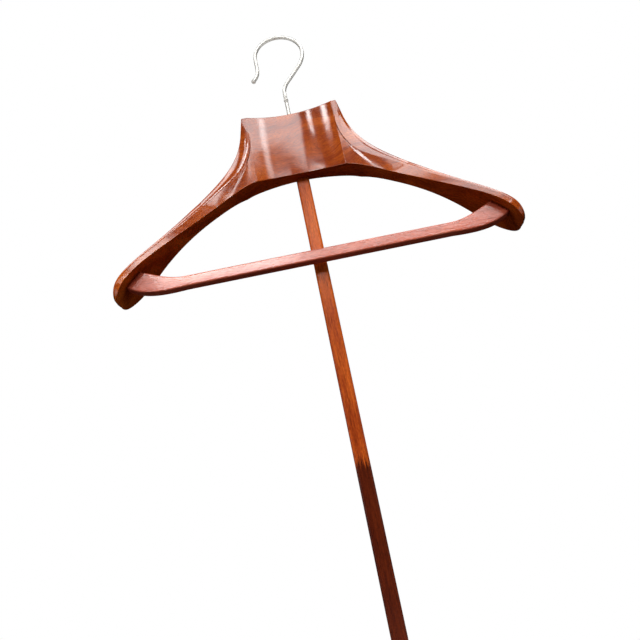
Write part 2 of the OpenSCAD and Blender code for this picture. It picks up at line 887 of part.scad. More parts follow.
module seat_screws() {
    color(BRASS)
        seat_screw_places()
            translate([0, 0, block_h])
                screw(block_h + seat_grip);
}

dish_sphere_r = (dish_r * dish_r + dish_depth * dish_depth) / (2 * dish_depth);
module seat_panel() {
    seat_l = leg_rear_y + half_d;
    color(WOOD)
        difference() {
            translate([0, leg_rear_y - seat_l / 2, frame_top_z])
                linear_extrude(seat_t)
                    rounded_rectangle(seat_w, seat_l, seat_r);
            translate([0, frame_mid_y, seat_z + dish_sphere_r - dish_depth])
                sphere(r = dish_sphere_r, $fn = 360);
            on_hanger()
                post_blank(joint_gap, post_top_drop);
            seat_screw_places()
                pilot(seat_grip);
        }
}

module rounded_rectangle(w, l, r) {
    square([w, l - 2 * r], center = true);
    square([w - 2 * r, l], center = true);
    for (x = [r - w / 2, w / 2 - r], y = [r - l / 2, l / 2 - r])
        translate([x, y])
            circle(r = r);
}

// ---------------------------------------------------------------- feet
module glide_places() {
    for (side = [-1, 1], y = [leg_front_y + leg_foot_s / 2, leg_rear_y - leg_foot_s / 2])
        translate([side * (frame_w / 2 - leg_foot_s / 2), y, 0])
            children();
}

module glide_pin(play) {
    translate([0, 0, glide_t / 2])
        cylinder(h = glide_t / 2 + glide_pin_l + play, d = glide_pin_d + 2 * play);
}

module foot_glides() {
    color("dimgray")
        glide_places() {
            cylinder(h = glide_t / 2, d1 = glide_d - glide_t, d2 = glide_d);
            translate([0, 0, glide_t / 2])
                cylinder(h = glide_t / 2, d = glide_d);
            glide_pin(0);
        }
}

hanger_body();
trouser_bar();
bar_dowels();
hook();
hook_bush();
post();
post_neck_screws();
post_base_screws();
front_apron();
rear_apron();
left_apron();
right_apron();
front_left_leg();
front_right_leg();
rear_left_leg();
rear_right_leg();
left_stretcher();
right_stretcher();
cross_stretcher();
rear_stretcher();
corner_blocks();
corner_block_screws();
seat_panel();
seat_screws();
foot_glides();
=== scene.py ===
"""Looks of the clothes valet chair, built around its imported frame.

Lengths of pieces are millimetres, and new_piece() turns them into metres. Materials, lamps and floor are
in metres. Seen from the front, +X is right, the front faces -Y and the floor is z = 0.
"""
import math

import bmesh
import bpy
from mathutils import Matrix, Vector
from mathutils.geometry import delaunay_2d_cdt


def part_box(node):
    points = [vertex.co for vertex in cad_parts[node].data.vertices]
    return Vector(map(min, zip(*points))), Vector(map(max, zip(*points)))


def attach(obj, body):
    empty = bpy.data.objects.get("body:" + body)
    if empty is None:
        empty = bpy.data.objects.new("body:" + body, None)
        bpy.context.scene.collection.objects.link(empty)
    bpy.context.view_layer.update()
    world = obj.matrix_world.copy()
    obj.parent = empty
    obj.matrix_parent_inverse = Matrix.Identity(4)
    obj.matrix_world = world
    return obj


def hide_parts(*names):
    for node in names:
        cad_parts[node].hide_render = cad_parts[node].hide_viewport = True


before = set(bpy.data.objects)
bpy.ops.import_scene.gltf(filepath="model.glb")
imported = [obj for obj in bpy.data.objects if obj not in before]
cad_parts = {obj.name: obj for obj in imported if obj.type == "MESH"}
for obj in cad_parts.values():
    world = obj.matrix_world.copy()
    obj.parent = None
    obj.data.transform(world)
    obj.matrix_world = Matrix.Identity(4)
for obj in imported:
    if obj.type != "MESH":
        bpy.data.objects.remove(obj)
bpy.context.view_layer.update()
MM = 0.001


# ------------------------ places that the frame gives
def box_mm(node):
    """Lowest and highest corner of a CAD node, in millimetres."""
    low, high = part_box(node)
    return low / MM, high / MM


HANGER_LOW, HANGER_HIGH = box_mm("hanger_body")
BAR_LOW, BAR_HIGH = box_mm("trouser_bar")
POST_LOW, POST_HIGH = box_mm("post")
SEAT_LOW, SEAT_HIGH = box_mm("seat_panel")
BUSH_LOW, BUSH_HIGH = box_mm("hook_bush")

# ------------------------ sizes of the hanger, as in the CAD source
NECK_W, NECK_H, NECK_T = 112.0, 87.0, 23.0
# Hollow in the neck's front, the flat land beside it, and how far the neck's foot is arched
SCOOP_DEPTH, SCOOP_LAND, NECK_ARCH = 8.5, 6.0, 5.55
# Where the flare ends and the shoulder begins, seen from the neck's corner, and how thick the wing is there
FLARE_OUT, FLARE_DROP, ROOT_T = 72.0, 113.0, 28.6
TIP_DROP, TIP_T = 205.5, 4.2
# Seen from above: how far the tip stands out in front, and how far tip and waist reach back
TIP_LEAD, TIP_REACH, WAIST_REACH = 10.0, 42.6, 14.5
FRONT_ROUND_L, BACK_ROUND_L = 11.0, 17.0
CROWN_H, EDGE_R, FLARE_R = 2.0, 1.2, 6.0
# Trouser bar, with the rise, height and length of its upswept ends
BAR_DROP, BAR_H = 191.0, 13.0
BAR_RISE, BAR_END_H, BAR_BEND_L = 15.6, 16.4, 47.0

HANGER_W = HANGER_HIGH.x - HANGER_LOW.x
NECK_TOP_Z = HANGER_HIGH.z
HOOK_Y = (BUSH_LOW.y + BUSH_HIGH.y) / 2
HANGER_Y = HOOK_Y - (SCOOP_DEPTH + NECK_T) / 2


# ------------------------ curves
def mix(a, b, t):
    return a + (b - a) * t


def bez(p, t):
    """Point of the cubic curve with the four points p."""
    s = 1 - t
    return [s**3 * a + 3 * t * s * s * b + 3 * t * t * s * c + t**3 * d for a, b, c, d in zip(*p)]


def bez_at(p, k, value):
    """Parameter at which coordinate k of a rising or falling curve has the given value."""
    low, high = 0.0, 1.0
    for _ in range(40):
        mid = (low + high) / 2
        if (bez(p, mid)[k] - value) * (p[3][k] - p[0][k]) < 0:
            low = mid
        else:
            high = mid
    return (low + high) / 2


def spanned(a, b, start, end):
    """A curve from a to b whose handles are shares of the way across and the way down."""
    dx, dz = b[0] - a[0], b[1] - a[1]
    return [a, (a[0] + start[0] * dx, a[1] + start[1] * dz), (b[0] - end[0] * dx, b[1] - end[1] * dz), b]


# Share of a length that a slope of 45 degrees goes across, and down
DIAGONAL = 0.71
# The same for the wing's thickness at its root
ROOT_ACROSS, ROOT_DOWN = 0.98, 0.196
# The tip's last section stands this far inside the hanger's end
TIP_SET = 0.5

# Outlines of the right half, as (x, z) points from the middle of the neck's top edge
BAND_X = NECK_W / 2 - SCOOP_LAND
SHOULDER = (NECK_W / 2 + FLARE_OUT, -FLARE_DROP)
TIP_TOP = (HANGER_W / 2 - TIP_SET, -TIP_DROP)
TIP_BOTTOM = (TIP_TOP[0] - DIAGONAL * TIP_T, TIP_TOP[1] - DIAGONAL * TIP_T)
ARCH_START = (BAND_X, -NECK_H - NECK_ARCH)
ARCH_END = (SHOULDER[0] - ROOT_ACROSS * ROOT_T, SHOULDER[1] - ROOT_DOWN * ROOT_T)
TIP_X = TIP_BOTTOM[0]

FLARE_CURVE = spanned((NECK_W / 2, 0), SHOULDER, (0.117, 0.386), (0.874, 0.46))
OUTER_CURVE = spanned(SHOULDER, TIP_TOP, (0.624, 0.548), (0.0135, 0.362))
ARCH_CURVE = spanned(ARCH_START, ARCH_END, (0.336, 0.142), (0.424, 0.53))
UNDER_CURVE = spanned(ARCH_END, TIP_BOTTOM, (0.695, 0.547), (0.113, 0.36))
# How far the lower outline runs ahead of the upper one at the neck
SECTION_LEAD = 0.06

# The same half seen from above, as (x, y) points with y = 0 at the neck's front. The handles of its curves
# are shares of the lengths above
SCOOP_R = (BAND_X**2 + SCOOP_DEPTH**2) / (2 * SCOOP_DEPTH)
FRONT_BEND_X = BAND_X + NECK_T
FRONT_TIP = [
    (TIP_X - FRONT_ROUND_L, -0.97 * TIP_LEAD), (TIP_X - 0.45 * FRONT_ROUND_L, -TIP_LEAD),
    (TIP_X - 0.05 * FRONT_ROUND_L, -0.85 * TIP_LEAD), (TIP_X, -0.2 * TIP_LEAD),
]
WAIST_CURVE = [
    (NECK_W / 2 + 0.43 * NECK_T, NECK_T),
    ((NECK_W / 2 + TIP_X) * 0.535, 2.32 * WAIST_REACH - 1.25 * NECK_T - 0.222 * TIP_REACH),
    (TIP_X - 1.88 * BACK_ROUND_L, 1.11 * TIP_REACH), (TIP_X - BACK_ROUND_L, TIP_REACH),
]
BACK_TIP = [
    (TIP_X - BACK_ROUND_L, TIP_REACH), (TIP_X - 0.45 * BACK_ROUND_L, 0.99 * TIP_REACH),
    (TIP_X, 0.72 * TIP_REACH), (TIP_X, 0.28 * TIP_REACH),
]


def upper(u):
    """Upper outline, u from 0 at the neck's corner through 1 at the shoulder to 2 at the tip."""
    return bez(FLARE_CURVE, u) if u <= 1 else bez(OUTER_CURVE, u - 1)


def lower(v):
    """Lower outline, v from 0 at the neck's land through 1 under the shoulder to 2 at the tip."""
    return bez(ARCH_CURVE, v) if v <= 1 else bez(UNDER_CURVE, v - 1)


def lead(u):
    """How far the lower outline runs ahead, so that each section stands square to the shoulder."""
    return SECTION_LEAD * (1 - (u / 2) ** 4)


def lower_for(u):
    """Foot of the section whose top is upper(u)."""
    return lower(u + lead(u))


def front_y(x):
    """Front of the hanger seen from above, for a section whose underside lies at x."""
    if x < BAND_X:
        return math.sqrt(SCOOP_R**2 - x * x) - (SCOOP_R - SCOOP_DEPTH)
    slope = FRONT_TIP[0][1] / (FRONT_TIP[0][0] - FRONT_BEND_X)
    bend = FRONT_BEND_X - BAND_X
    if x < BAND_X + 2 * bend:
        return slope * (x - BAND_X) ** 2 / (4 * bend)
    if x < FRONT_TIP[0][0]:
        return slope * (x - FRONT_BEND_X)
    return bez(FRONT_TIP, bez_at(FRONT_TIP, 0, x))[1]


def back_y(x):
    """Back of the hanger seen from above, for the same x."""
    if x < WAIST_CURVE[0][0]:
        return NECK_T
    if x < BACK_TIP[0][0]:
        return bez(WAIST_CURVE, bez_at(WAIST_CURVE, 0, x))[1]
    return bez(BACK_TIP, bez_at(BACK_TIP, 0, x))[1]


# ------------------------ mesh helpers
def new_object(name, data):
    """Object of a mesh, a lamp or a camera, linked into the scene."""
    made = bpy.data.objects.new(name, data)
    bpy.context.scene.collection.objects.link(made)
    return made


def new_piece(name, points, faces, nodes, material, body="frame", flat_faces=True):
    """Makes a smooth mesh from points in millimetres, puts it on its body and in place of CAD nodes.

    flat_faces keeps its flat faces flat beside their rounded edges.
    """
    mesh = bpy.data.meshes.new(name)
    mesh.from_pydata([tuple(c * MM for c in p) for p in points], [], faces)
    shape = bmesh.new()
    shape.from_mesh(mesh)
    bmesh.ops.remove_doubles(shape, verts=shape.verts, dist=1e-6)
    bmesh.ops.recalc_face_normals(shape, faces=shape.faces)
    shape.to_mesh(mesh)
    shape.free()
    mesh.shade_smooth()
    mesh.materials.append(material)
    piece = new_object(name, mesh)
    if flat_faces:
        piece.modifiers.new("flat_faces", "WEIGHTED_NORMAL").weight = 100
    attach(piece, body)
    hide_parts(*nodes)


def mirrored(rings):
    """Rings of both halves, left to right, from those of the right half."""
    return [[(-x, y, z) for x, y, z in ring] for ring in reversed(rings[1:])] + rings


def skin(rings, closed_ends=True):
    """Points and faces of a tube through rings of equally many points."""
    n = len(rings[0])
    points = [p for ring in rings for p in ring]
    faces = [
        (i * n + k, i * n + (k + 1) % n, (i + 1) * n + (k + 1) % n, (i + 1) * n + k)
        for i in range(len(rings) - 1) for k in range(n)
    ]
    if closed_ends:
        faces.append(tuple(range(n)))
        faces.append(tuple(range(len(points) - 1, len(points) - 1 - n, -1)))
    return points, faces


def quarter(steps):
    """Angles of a quarter turn, in radians."""
    return [math.pi / 2 * i / steps for i in range(steps + 1)]


def circle(centre, r, steps):
    """Points round a circle, each as (x, y)."""
    angles = [2 * math.pi * k / steps for k in range(steps)]
    return [(centre[0] + r * math.cos(a), centre[1] + r * math.sin(a)) for a in angles]


def lathe(profile, centre, steps=40):
    """Rings of a turned shape. The profile is (radius, z) from one end round to the other."""
    return [[(*p, z) for p in circle(centre, r, steps)] for r, z in profile]


def rounded_rectangle(low, high, r, steps=4):
    """Points round a rectangle given by two opposite corners, its own corners rounded."""
    corners = [(high[0] - r, high[1] - r, 0), (low[0] + r, high[1] - r, 1),
               (low[0] + r, low[1] + r, 2), (high[0] - r, low[1] + r, 3)]
    return [
        (cx + r * math.cos(a + k * math.pi / 2), cy + r * math.sin(a + k * math.pi / 2))
        for cx, cy, k in corners for a in quarter(steps)
    ]


# A stick's corners stay at least this round, so that their points stay apart
LEAST_R = 0.2


def stick_rings(axis, stations, r, end_r):
    """Rings of a stick along an axis, from rising stations: (place along it, low corner, high corner)."""
    def ring(along, low, high, inset):
        low, high = [c + inset for c in low], [c - inset for c in high]
        flat = rounded_rectangle(low, high, max(r - inset, LEAST_R))
        if axis == "X":
            return [(along, p, q) for p, q in flat]
        if axis == "Y":
            return [(p, along, q) for p, q in flat]
        return [(p, q, along) for p, q in flat]

    def end_ring(station, way, a):
        along, low, high = station
        return ring(along + way * end_r * (1 - math.sin(a)), low, high, end_r * (1 - math.cos(a)))

    rings = [end_ring(stations[0], 1, a) for a in reversed(quarter(3))]
    rings += [ring(along, low, high, 0) for along, low, high in stations[1:-1]]
    return rings + [end_ring(stations[-1], -1, a) for a in quarter(3)]


# ------------------------ shader helpers
def feed(tree, node, inputs):
    """Sets a node's inputs to numbers, or links them to the outputs that feed them."""
    for key, value in inputs.items():
        if isinstance(value, bpy.types.NodeSocket):
            tree.links.new(value, node.inputs[key])
        else:
            node.inputs[key].default_value = value


def add(tree, kind, inputs=None, **settings):
    """Adds a shader node."""
    node = tree.nodes.new("ShaderNode" + kind)
    for key, value in settings.items():
        setattr(node, key, value)
    feed(tree, node, inputs or {})
    return node


def blend_colour(tree, factor, a, b, mode="MIX"):
    """Output of a colour mix."""
    node = add(tree, "Mix", {0: factor, 6: a, 7: b}, data_type="RGBA", blend_type=mode)
    return node.outputs[2]


def ramp(tree, factor, stops):
    """Output of a colour ramp through (place, colour) stops."""
    node = add(tree, "ValToRGB", {"Fac": factor})
    elements = node.color_ramp.elements
    while len(elements) < len(stops):
        elements.new(1.0)
    for element, (place, colour) in zip(elements, stops):
        element.position = place
        element.color = (*colour, 1.0)
    return node.outputs["Color"]


def grey_ramp(tree, factor, stops):
    """Output of a ramp through (place, brightness) stops."""
    return ramp(tree, factor, [(place, (v, v, v)) for place, v in stops])


def multiply_add(tree, value, factor, base):
    """Output of value * factor + base."""
    return add(tree, "Math", {0: value, 1: factor, 2: base}, operation="MULTIPLY_ADD").outputs[0]


def map_range(tree, value, start, end, low=0.0, high=1.0, kind="LINEAR"):
    """Output that goes from low to high while value goes from start to end."""
    return add(tree, "MapRange", {
        "Value": value, "From Min": start, "From Max": end, "To Min": low, "To Max": high,
    }, interpolation_type=kind).outputs["Result"]


def any_of(tree, *shares):
    """Output of the sum of shares, at most 1."""
    total = shares[0]
    for share in shares[1:]:
        total = add(tree, "Math", {0: total, 1: share}, operation="ADD", use_clamp=True).outputs[0]
    return total


def noise(tree, place, scale, detail, roughness=0.5):
    """Noise node with one scale for all directions."""
    return add(tree, "TexNoise", {
        "Vector": place, "Scale": scale, "Detail": detail, "Roughness": roughness,
    })


def grain_noise(tree, place, axis, scales, detail, roughness=0.5):
    """Output of a noise whose scales along the grain and across it differ."""
    along, across = scales
    scale = [along if a == axis else across for a in "XYZ"]
    stretched = add(tree, "Mapping", {"Vector": place, "Scale": scale}).outputs["Vector"]
    return noise(tree, stretched, 1.0, detail, roughness).outputs["Fac"]


def bumped(tree, strength, depth, height):
    """Normal of a surface shaped by a height, its depth in metres."""
    return add(tree, "Bump", {"Strength": strength, "Distance": depth, "Height": height}).outputs["Normal"]


def new_material(name):
    """Material with its node tree and its main shader."""
    material = bpy.data.materials.new(name)
    material.use_nodes = True
    tree = material.node_tree
    return material, tree, tree.nodes["Principled BSDF"]


# ------------------------ wood
# Colours of the stains by tone, from the dark lines of the figure to its light fields
MAHOGANY = [
    (0.20, (0.16, 0.018, 0.003)), (0.42, (0.32, 0.046, 0.006)),
    (0.60, (0.50, 0.092, 0.010)), (0.82, (0.72, 0.180, 0.020)),
]
# The post is this much lighter than the hanger, which was chosen for the look
POST_LIGHTER = 1.3
POST_MAHOGANY = [(place, tuple(POST_LIGHTER * part for part in colour)) for place, colour in MAHOGANY]
# Dark stain of the chair's legs, rails and seat. On the post's lower part the same tones are painted shade
DARK_MAHOGANY_AND_PAINTED_SHADE = [
    (0.20, (0.045, 0.005, 0.002)), (0.42, (0.08, 0.010, 0.003)),
    (0.60, (0.13, 0.018, 0.004)), (0.82, (0.22, 0.040, 0.008)),
]
# The bar's stain, lighter and pinker than the hanger's: partly its own tone and partly a painted sheen
SALMON_AND_PAINTED_SHEEN = [
    (0.20, (0.34, 0.058, 0.030)), (0.42, (0.56, 0.112, 0.060)),
    (0.60, (0.72, 0.165, 0.092)), (0.82, (0.88, 0.270, 0.150)),
]
PALE = [
    (0.25, (0.42, 0.25, 0.11)), (0.45, (0.52, 0.33, 0.16)),
    (0.60, (0.60, 0.40, 0.21)), (0.80, (0.68, 0.48, 0.28)),
]

# Scales of the grain's noises, along it and across it, and of the even ones
FIGURE_SCALES, FIBRE_SCALES = (9.0, 52.0), (24.0, 620.0)
FLECK_SCALES, PORE_SCALES = (260.0, 620.0), (90.0, 1500.0)
SWIRL_SCALE, CLOUD_SCALE, WAVE_SCALE = 17.0, 14.0, 32.0
GRAIN_ROUGHNESS = 0.6
# How much each noise moves the tone, and what is added to it
FIGURE_SHARE, FIBRE_SHARE, FLECK_SHARE, CLOUD_SHARE = 0.72, 0.42, 0.25, 0.4
TONE_BASE = -0.07
# Brightness by the pores' noise, which darkens only its deepest lines
PORES = [(0.30, 0.45), (0.42, 1.0)]
# Strength and depth of the fibres in the wood, and depth of the waves in the lacquer. Depths are metres
FIBRE_STRENGTH, FIBRE_DEPTH, WAVE_DEPTH = 0.12, 0.0004, 0.00016
# Height of the post's painted shade line, under which its colour is painted darker as shade, how far fibres
# draw that line up and down, and half its soft width, in metres
PAINTED_SHADE_Z, PAINTED_SHADE_FRAY, PAINTED_SHADE_SOFT = 0.653, 0.05, 0.004
# Heights of a face's normal between which the lacquer grows from none to full, chosen for the look
BARE_BELOW, FULL_ABOVE = -0.45, -0.02


def wood_place(tree, own_place, seed, swirl):
    """Coordinates of the grain, moved by the seed. Swirl bends them by that many metres."""
    shift = (seed, seed * 0.7, seed * 1.3)
    place = add(tree, "Mapping", {"Vector": own_place, "Location": shift}).outputs["Vector"]
    if not swirl:
        return place
    bend = noise(tree, place, SWIRL_SCALE, 1.0).outputs["Color"]
    off = add(tree, "VectorMath", {0: bend, 1: (0.5, 0.5, 0.5)}, operation="SUBTRACT").outputs[0]
    push = add(tree, "VectorMath", {0: off, "Scale": swirl}, operation="SCALE").outputs[0]
    return add(tree, "VectorMath", {0: place, 1: push}, operation="ADD").outputs[0]


def wood_tone(tree, place, axis, fibre, flecks):
    """Output of the wood's tone, low in the dark lines of its figure and high in its light fields."""
    figure = grain_noise(tree, place, axis, FIGURE_SCALES, 5.0, GRAIN_ROUGHNESS)
    cloud = noise(tree, place, CLOUD_SCALE, 1.0).outputs["Fac"]
    tone = multiply_add(tree, fibre, FIBRE_SHARE, TONE_BASE)
    tone = multiply_add(tree, figure, FIGURE_SHARE, tone)
    for amount, share in ((flecks, FLECK_SHARE), (cloud, CLOUD_SHARE)):
        off = add(tree, "Math", {0: amount, 1: 0.5}, operation="SUBTRACT").outputs[0]
        tone = multiply_add(tree, off, share, tone)
    return tone


def painted_shade_below(tree, own_place, fibre, high_colour, painted_shade_colour):
    """Output of the colour that is painted darker as shade below the post's shade line, along a line frayed
    by the fibres.
    """
    up = add(tree, "SeparateXYZ", {"Vector": own_place}).outputs["Z"]
    edge = multiply_add(tree, fibre, PAINTED_SHADE_FRAY, up)
    middle = PAINTED_SHADE_Z + PAINTED_SHADE_FRAY / 2
    high = map_range(tree, edge, middle - PAINTED_SHADE_SOFT, middle + PAINTED_SHADE_SOFT, kind="SMOOTHSTEP")
    return blend_colour(tree, high, painted_shade_colour, high_colour)


def lacquer_wood(tree, shader, height, coat, coat_roughness):
    """Clear coat whose surface waves by a height, and which faces that look down go without."""
    bump = bumped(tree, 1.0, WAVE_DEPTH, height)
    up = add(tree, "SeparateXYZ", {"Vector": add(tree, "TexCoord").outputs["Normal"]}).outputs["Z"]
    share = map_range(tree, up, BARE_BELOW, FULL_ABOVE, 0.0, coat)
    feed(tree, shader, {"Coat Weight": share, "Coat Normal": bump, "Coat Roughness": coat_roughness})


def wood(name, axis, tones=MAHOGANY, coat=1.0, coat_roughness=0.11, roughness=0.42, swirl=0.0, seed=0.0,
         open_grain=0.0, painted_shade_tones=None):
    """Stained and lacquered wood, its grain along the given axis.

    open_grain shows the grain in the gloss, and the tones given for below the shade line are darker tones
    painted there as shade.
    """
    material, tree, shader = new_material(name)
    own_place = add(tree, "TexCoord").outputs["Object"]
    place = wood_place(tree, own_place, seed, swirl)
    fibre = grain_noise(tree, place, axis, FIBRE_SCALES, 3.0, GRAIN_ROUGHNESS)
    flecks = grain_noise(tree, place, axis, FLECK_SCALES, 2.0)
    tone = wood_tone(tree, place, axis, fibre, flecks)
    colour = ramp(tree, tone, tones)
    # Below the shade line the colour is painted darker, as painted shade
    if painted_shade_tones:
        colour = painted_shade_below(tree, own_place, fibre, colour, ramp(tree, tone, painted_shade_tones))
    pores = grey_ramp(tree, grain_noise(tree, place, axis, PORE_SCALES, 2.0), PORES)
    colour = blend_colour(tree, 1.0, colour, pores, "MULTIPLY")
    bump = bumped(tree, FIBRE_STRENGTH, FIBRE_DEPTH, fibre)
    feed(tree, shader, {
        "Base Color": colour, "Normal": bump, "Roughness": roughness, "Specular IOR Level": 0.0,
    })
    wave = noise(tree, place, WAVE_SCALE, 1.5).outputs["Fac"]
    if open_grain:
        wave = multiply_add(tree, flecks, open_grain, wave)
    lacquer_wood(tree, shader, wave, coat, coat_roughness)
    return material


# ------------------------ metal and plastic
# Places on the marks' noise between which gloss and tone change, and by how much they do
MARKS_LOW, MARKS_HIGH = 0.3, 0.7
GLOSSIEST, DULLEST, DARKEST = 0.8, 1.25, 0.86
# Scales of the marks and of the moulded grain, and the grain's depth in metres
MARKS_SCALE, MOULDED_SCALE = 70.0, 900.0
MOULDED_STRENGTH, MOULDED_DEPTH = 0.15, 0.0002


def metal(name, colour, roughness):
    """Satin metal, its gloss a little uneven from handling."""
    material, tree, shader = new_material(name)
    place = add(tree, "TexCoord").outputs["Object"]
    marks = noise(tree, place, MARKS_SCALE, 3.0).outputs["Fac"]
    rough = map_range(tree, marks, MARKS_LOW, MARKS_HIGH, roughness * GLOSSIEST, roughness * DULLEST)
    tone = ramp(tree, marks, [(MARKS_LOW, tuple(c * DARKEST for c in colour)), (MARKS_HIGH, colour)])
    feed(tree, shader, {"Base Color": tone, "Roughness": rough, "Metallic": 1.0})
    return material


def moulded_plastic(name, colour):
    """Dull plastic with a fine moulded grain."""
    material, tree, shader = new_material(name)
    place = add(tree, "TexCoord").outputs["Object"]
    grain = noise(tree, place, MOULDED_SCALE, 2.0).outputs["Fac"]
    bump = bumped(tree, MOULDED_STRENGTH, MOULDED_DEPTH, grain)
    feed(tree, shader, {"Base Color": (*colour, 1.0), "Roughness": 0.5, "Normal": bump})
    return material


# ------------------------ hanger
# Sections along the right half, from its middle to the tip
NECK_STEPS, BAND_STEPS, CORNER_STEPS = 26, 4, 6
FLARE_STEPS, OUTER_STEPS, TIP_STEPS, NOSE_STEPS = 84, 100, 24, 9
# Points round each section
EDGE_STEPS, LOW_STEPS, CROWN_STEPS, SIDE_STEPS = 24, 4, 12, 12
# Places of the points across a flat face. The outermost ones keep it flat beside its rounded edges
SIDE_SHARES = [0.005] + [j / SIDE_STEPS for j in range(1, SIDE_STEPS)] + [0.995]
# Rounding of the lower edges, which are crisper than the upper ones
LOW_R = 0.5
# The upper front edge is rounded further down than back, by so much of what its rounding is above EDGE_R,
# and over no more than a share of the section
TALL_ROUND, TALLEST_SHARE = 2.6, 0.45
# A lower bend brings the widest rounding nearer to the neck, where it sets in over the start's parameter
ROUND_BEND, ROUND_START_U = 0.7, 0.2
# Rounding of the neck's upper corner: how far along the top edge, and up to which parameter of the flare
CORNER_L, CORNER_U = 1.5, 0.014
# Sections stand closer together towards the band by this power
NECK_BUNCHING = 1.5
# The crown fades out towards the tip, over the last 1 / CROWN_FADE of the parameter
CROWN_FADE = 3
# The tip's rounded end stands out this far and closes up to this angle, in degrees
NOSE_L, NOSE_ANGLE = 0.7, 88


def upper_r(u):
    """Rounding of the wing's upper edges, widest on the flare and small at the neck and the tip."""
    swell = math.sin(math.pi * (u / 2) ** ROUND_BEND) * min(1, u / ROUND_START_U)
    return EDGE_R + (FLARE_R - EDGE_R) * swell


def leading(v):
    """The section's own parameter, for a foot at parameter v of the lower outline."""
    u = v
    for _ in range(6):
        u = v - lead(u)
    return u


def wing_steps():
    """Parameters of the wing's sections, even along the outlines and then round the tip's back corner."""
    corner_u = leading(1 + bez_at(UNDER_CURVE, 0, BACK_TIP[0][0]))
    steps = [mix(CORNER_U, 1, i / FLARE_STEPS) for i in range(FLARE_STEPS)]
    steps += [mix(1, corner_u, i / OUTER_STEPS) for i in range(OUTER_STEPS)]
    turns = [bez(BACK_TIP, i / TIP_STEPS)[0] for i in range(TIP_STEPS)]
    return steps + [leading(1 + bez_at(UNDER_CURVE, 0, x)) for x in turns] + [2.0]


def neck_sections():
    """Sections across the hollow, from the middle outwards."""
    sections = []
    for i in range(NECK_STEPS + 1):
        x = BAND_X * (1 - (1 - i / NECK_STEPS) ** NECK_BUNCHING)
        sections.append(((x, 0), (x, -NECK_H - NECK_ARCH * (x / BAND_X) ** 2), EDGE_R, 0, 0))
    return sections


def corner_sections(band_foot):
    """Sections across the land beside the hollow and round the neck's upper corner."""
    corner = [(NECK_W / 2 - CORNER_L, 0), (NECK_W / 2, 0), (NECK_W / 2, 0), bez(FLARE_CURVE, CORNER_U)]
    wing_foot = lower_for(CORNER_U)
    steps = BAND_STEPS + CORNER_STEPS
    sections = []
    for i in range(1, steps):
        if i <= BAND_STEPS:
            top = (mix(BAND_X, corner[0][0], i / BAND_STEPS), 0)
        else:
            top = bez(corner, (i - BAND_STEPS) / CORNER_STEPS)
        foot = [mix(a, b, i / steps) for a, b in zip(band_foot, wing_foot)]
        sections.append((top, foot, EDGE_R, 0, 0))
    return sections


def wing_sections():
    """Sections from the neck's corner to the tip."""
    sections = []
    for u in wing_steps():
        crown = CROWN_H * math.sin(math.pi / 2 * min(u, 1)) * min(1, (2 - u) * CROWN_FADE)
        sections.append((upper(u), lower_for(u), upper_r(u), crown, 0))
    return sections


def nose_sections():
    """Sections that close the tip, each turned a little further towards its end point."""
    mid = [(a + b) / 2 for a, b in zip(TIP_TOP, TIP_BOTTOM)]
    out = (DIAGONAL * NOSE_L, -DIAGONAL * NOSE_L)
    sections = []
    for i in range(1, NOSE_STEPS):
        a = math.radians(NOSE_ANGLE * i / (NOSE_STEPS - 1))
        ends = [
            [m + (c - m) * math.cos(a) + o * math.sin(a) for m, c, o in zip(mid, end, out)]
            for end in (TIP_TOP, TIP_BOTTOM)
        ]
        sections.append((*ends, EDGE_R * math.cos(a), 0, a))
    return sections


def hanger_sections():
    """The right half's sections as (top point, bottom point, upper rounding, crown, closing angle)."""
    neck = neck_sections()
    return neck + corner_sections(neck[-1][1]) + wing_sections() + nose_sections()


def inward(sections, i, k):
    """Mitred inward direction of outline k (0 upper, 1 lower) at section i."""
    here = Vector(sections[i][k])
    before = Vector((-sections[1][k][0], sections[1][k][1])) if i == 0 else Vector(sections[i - 1][k])
    after = here * 2 - before if i == len(sections) - 1 else Vector(sections[i + 1][k])
    d1, d2 = (here - before).normalized(), (after - here).normalized()
    n1, n2 = Vector((d1.y, -d1.x)), Vector((d2.y, -d2.x))
    return (n1 + n2) / (1 + n1.dot(n2)) * (1 if k == 0 else -1)


def rounded_edge(corner, along, side_y, across, angles):
    """Points (outline point, y) round a section's edge, from its side face to its top or foot."""
    return [(corner + along * (1 - math.sin(a)), side_y + across * (1 - math.cos(a))) for a in angles]


def hanger_ring(sections, i):
    """Closed ring of (x, y, z) points around section i of the right half."""
    top, foot, r, crown, closing = sections[i]
    x = min(foot[0], TIP_X)
    y_mid = (front_y(x) + back_y(x)) / 2
    y_half = (back_y(x) - front_y(x)) / 2 * math.sqrt(math.cos(closing))
    front, back = y_mid - y_half, y_mid + y_half
    top, foot = Vector(top), Vector(foot)
    top_in, foot_in = inward(sections, i, 0), inward(sections, i, 1)
    low_r = LOW_R * math.cos(closing)
    tall_r = min(r + max(r - EDGE_R, 0) * TALL_ROUND, TALLEST_SHARE * (top - foot).length)
    arc, low_arc = quarter(EDGE_STEPS), quarter(LOW_STEPS)
    low_edge = foot + foot_in * low_r
    ring = rounded_edge(top, top_in * tall_r, front, r, arc)
    for j in range(1, CROWN_STEPS):
        w = j / CROWN_STEPS
        ring.append((top - top_in * crown * 4 * w * (1 - w), mix(front + r, back - r, w)))
    ring += rounded_edge(top, top_in * r, back, -r, reversed(arc))
    ring += [((top + top_in * r).lerp(low_edge, w), back) for w in SIDE_SHARES]
    ring += rounded_edge(foot, foot_in * low_r, back, -low_r, low_arc)
    ring += [(foot, mix(back - low_r, front + low_r, w)) for w in SIDE_SHARES]
    ring += rounded_edge(foot, foot_in * low_r, front, low_r, reversed(low_arc))
    ring += [(low_edge.lerp(top + top_in * tall_r, w), front) for w in SIDE_SHARES]
    return [(p.x, HANGER_Y + y, NECK_TOP_Z + p.y) for p, y in ring]


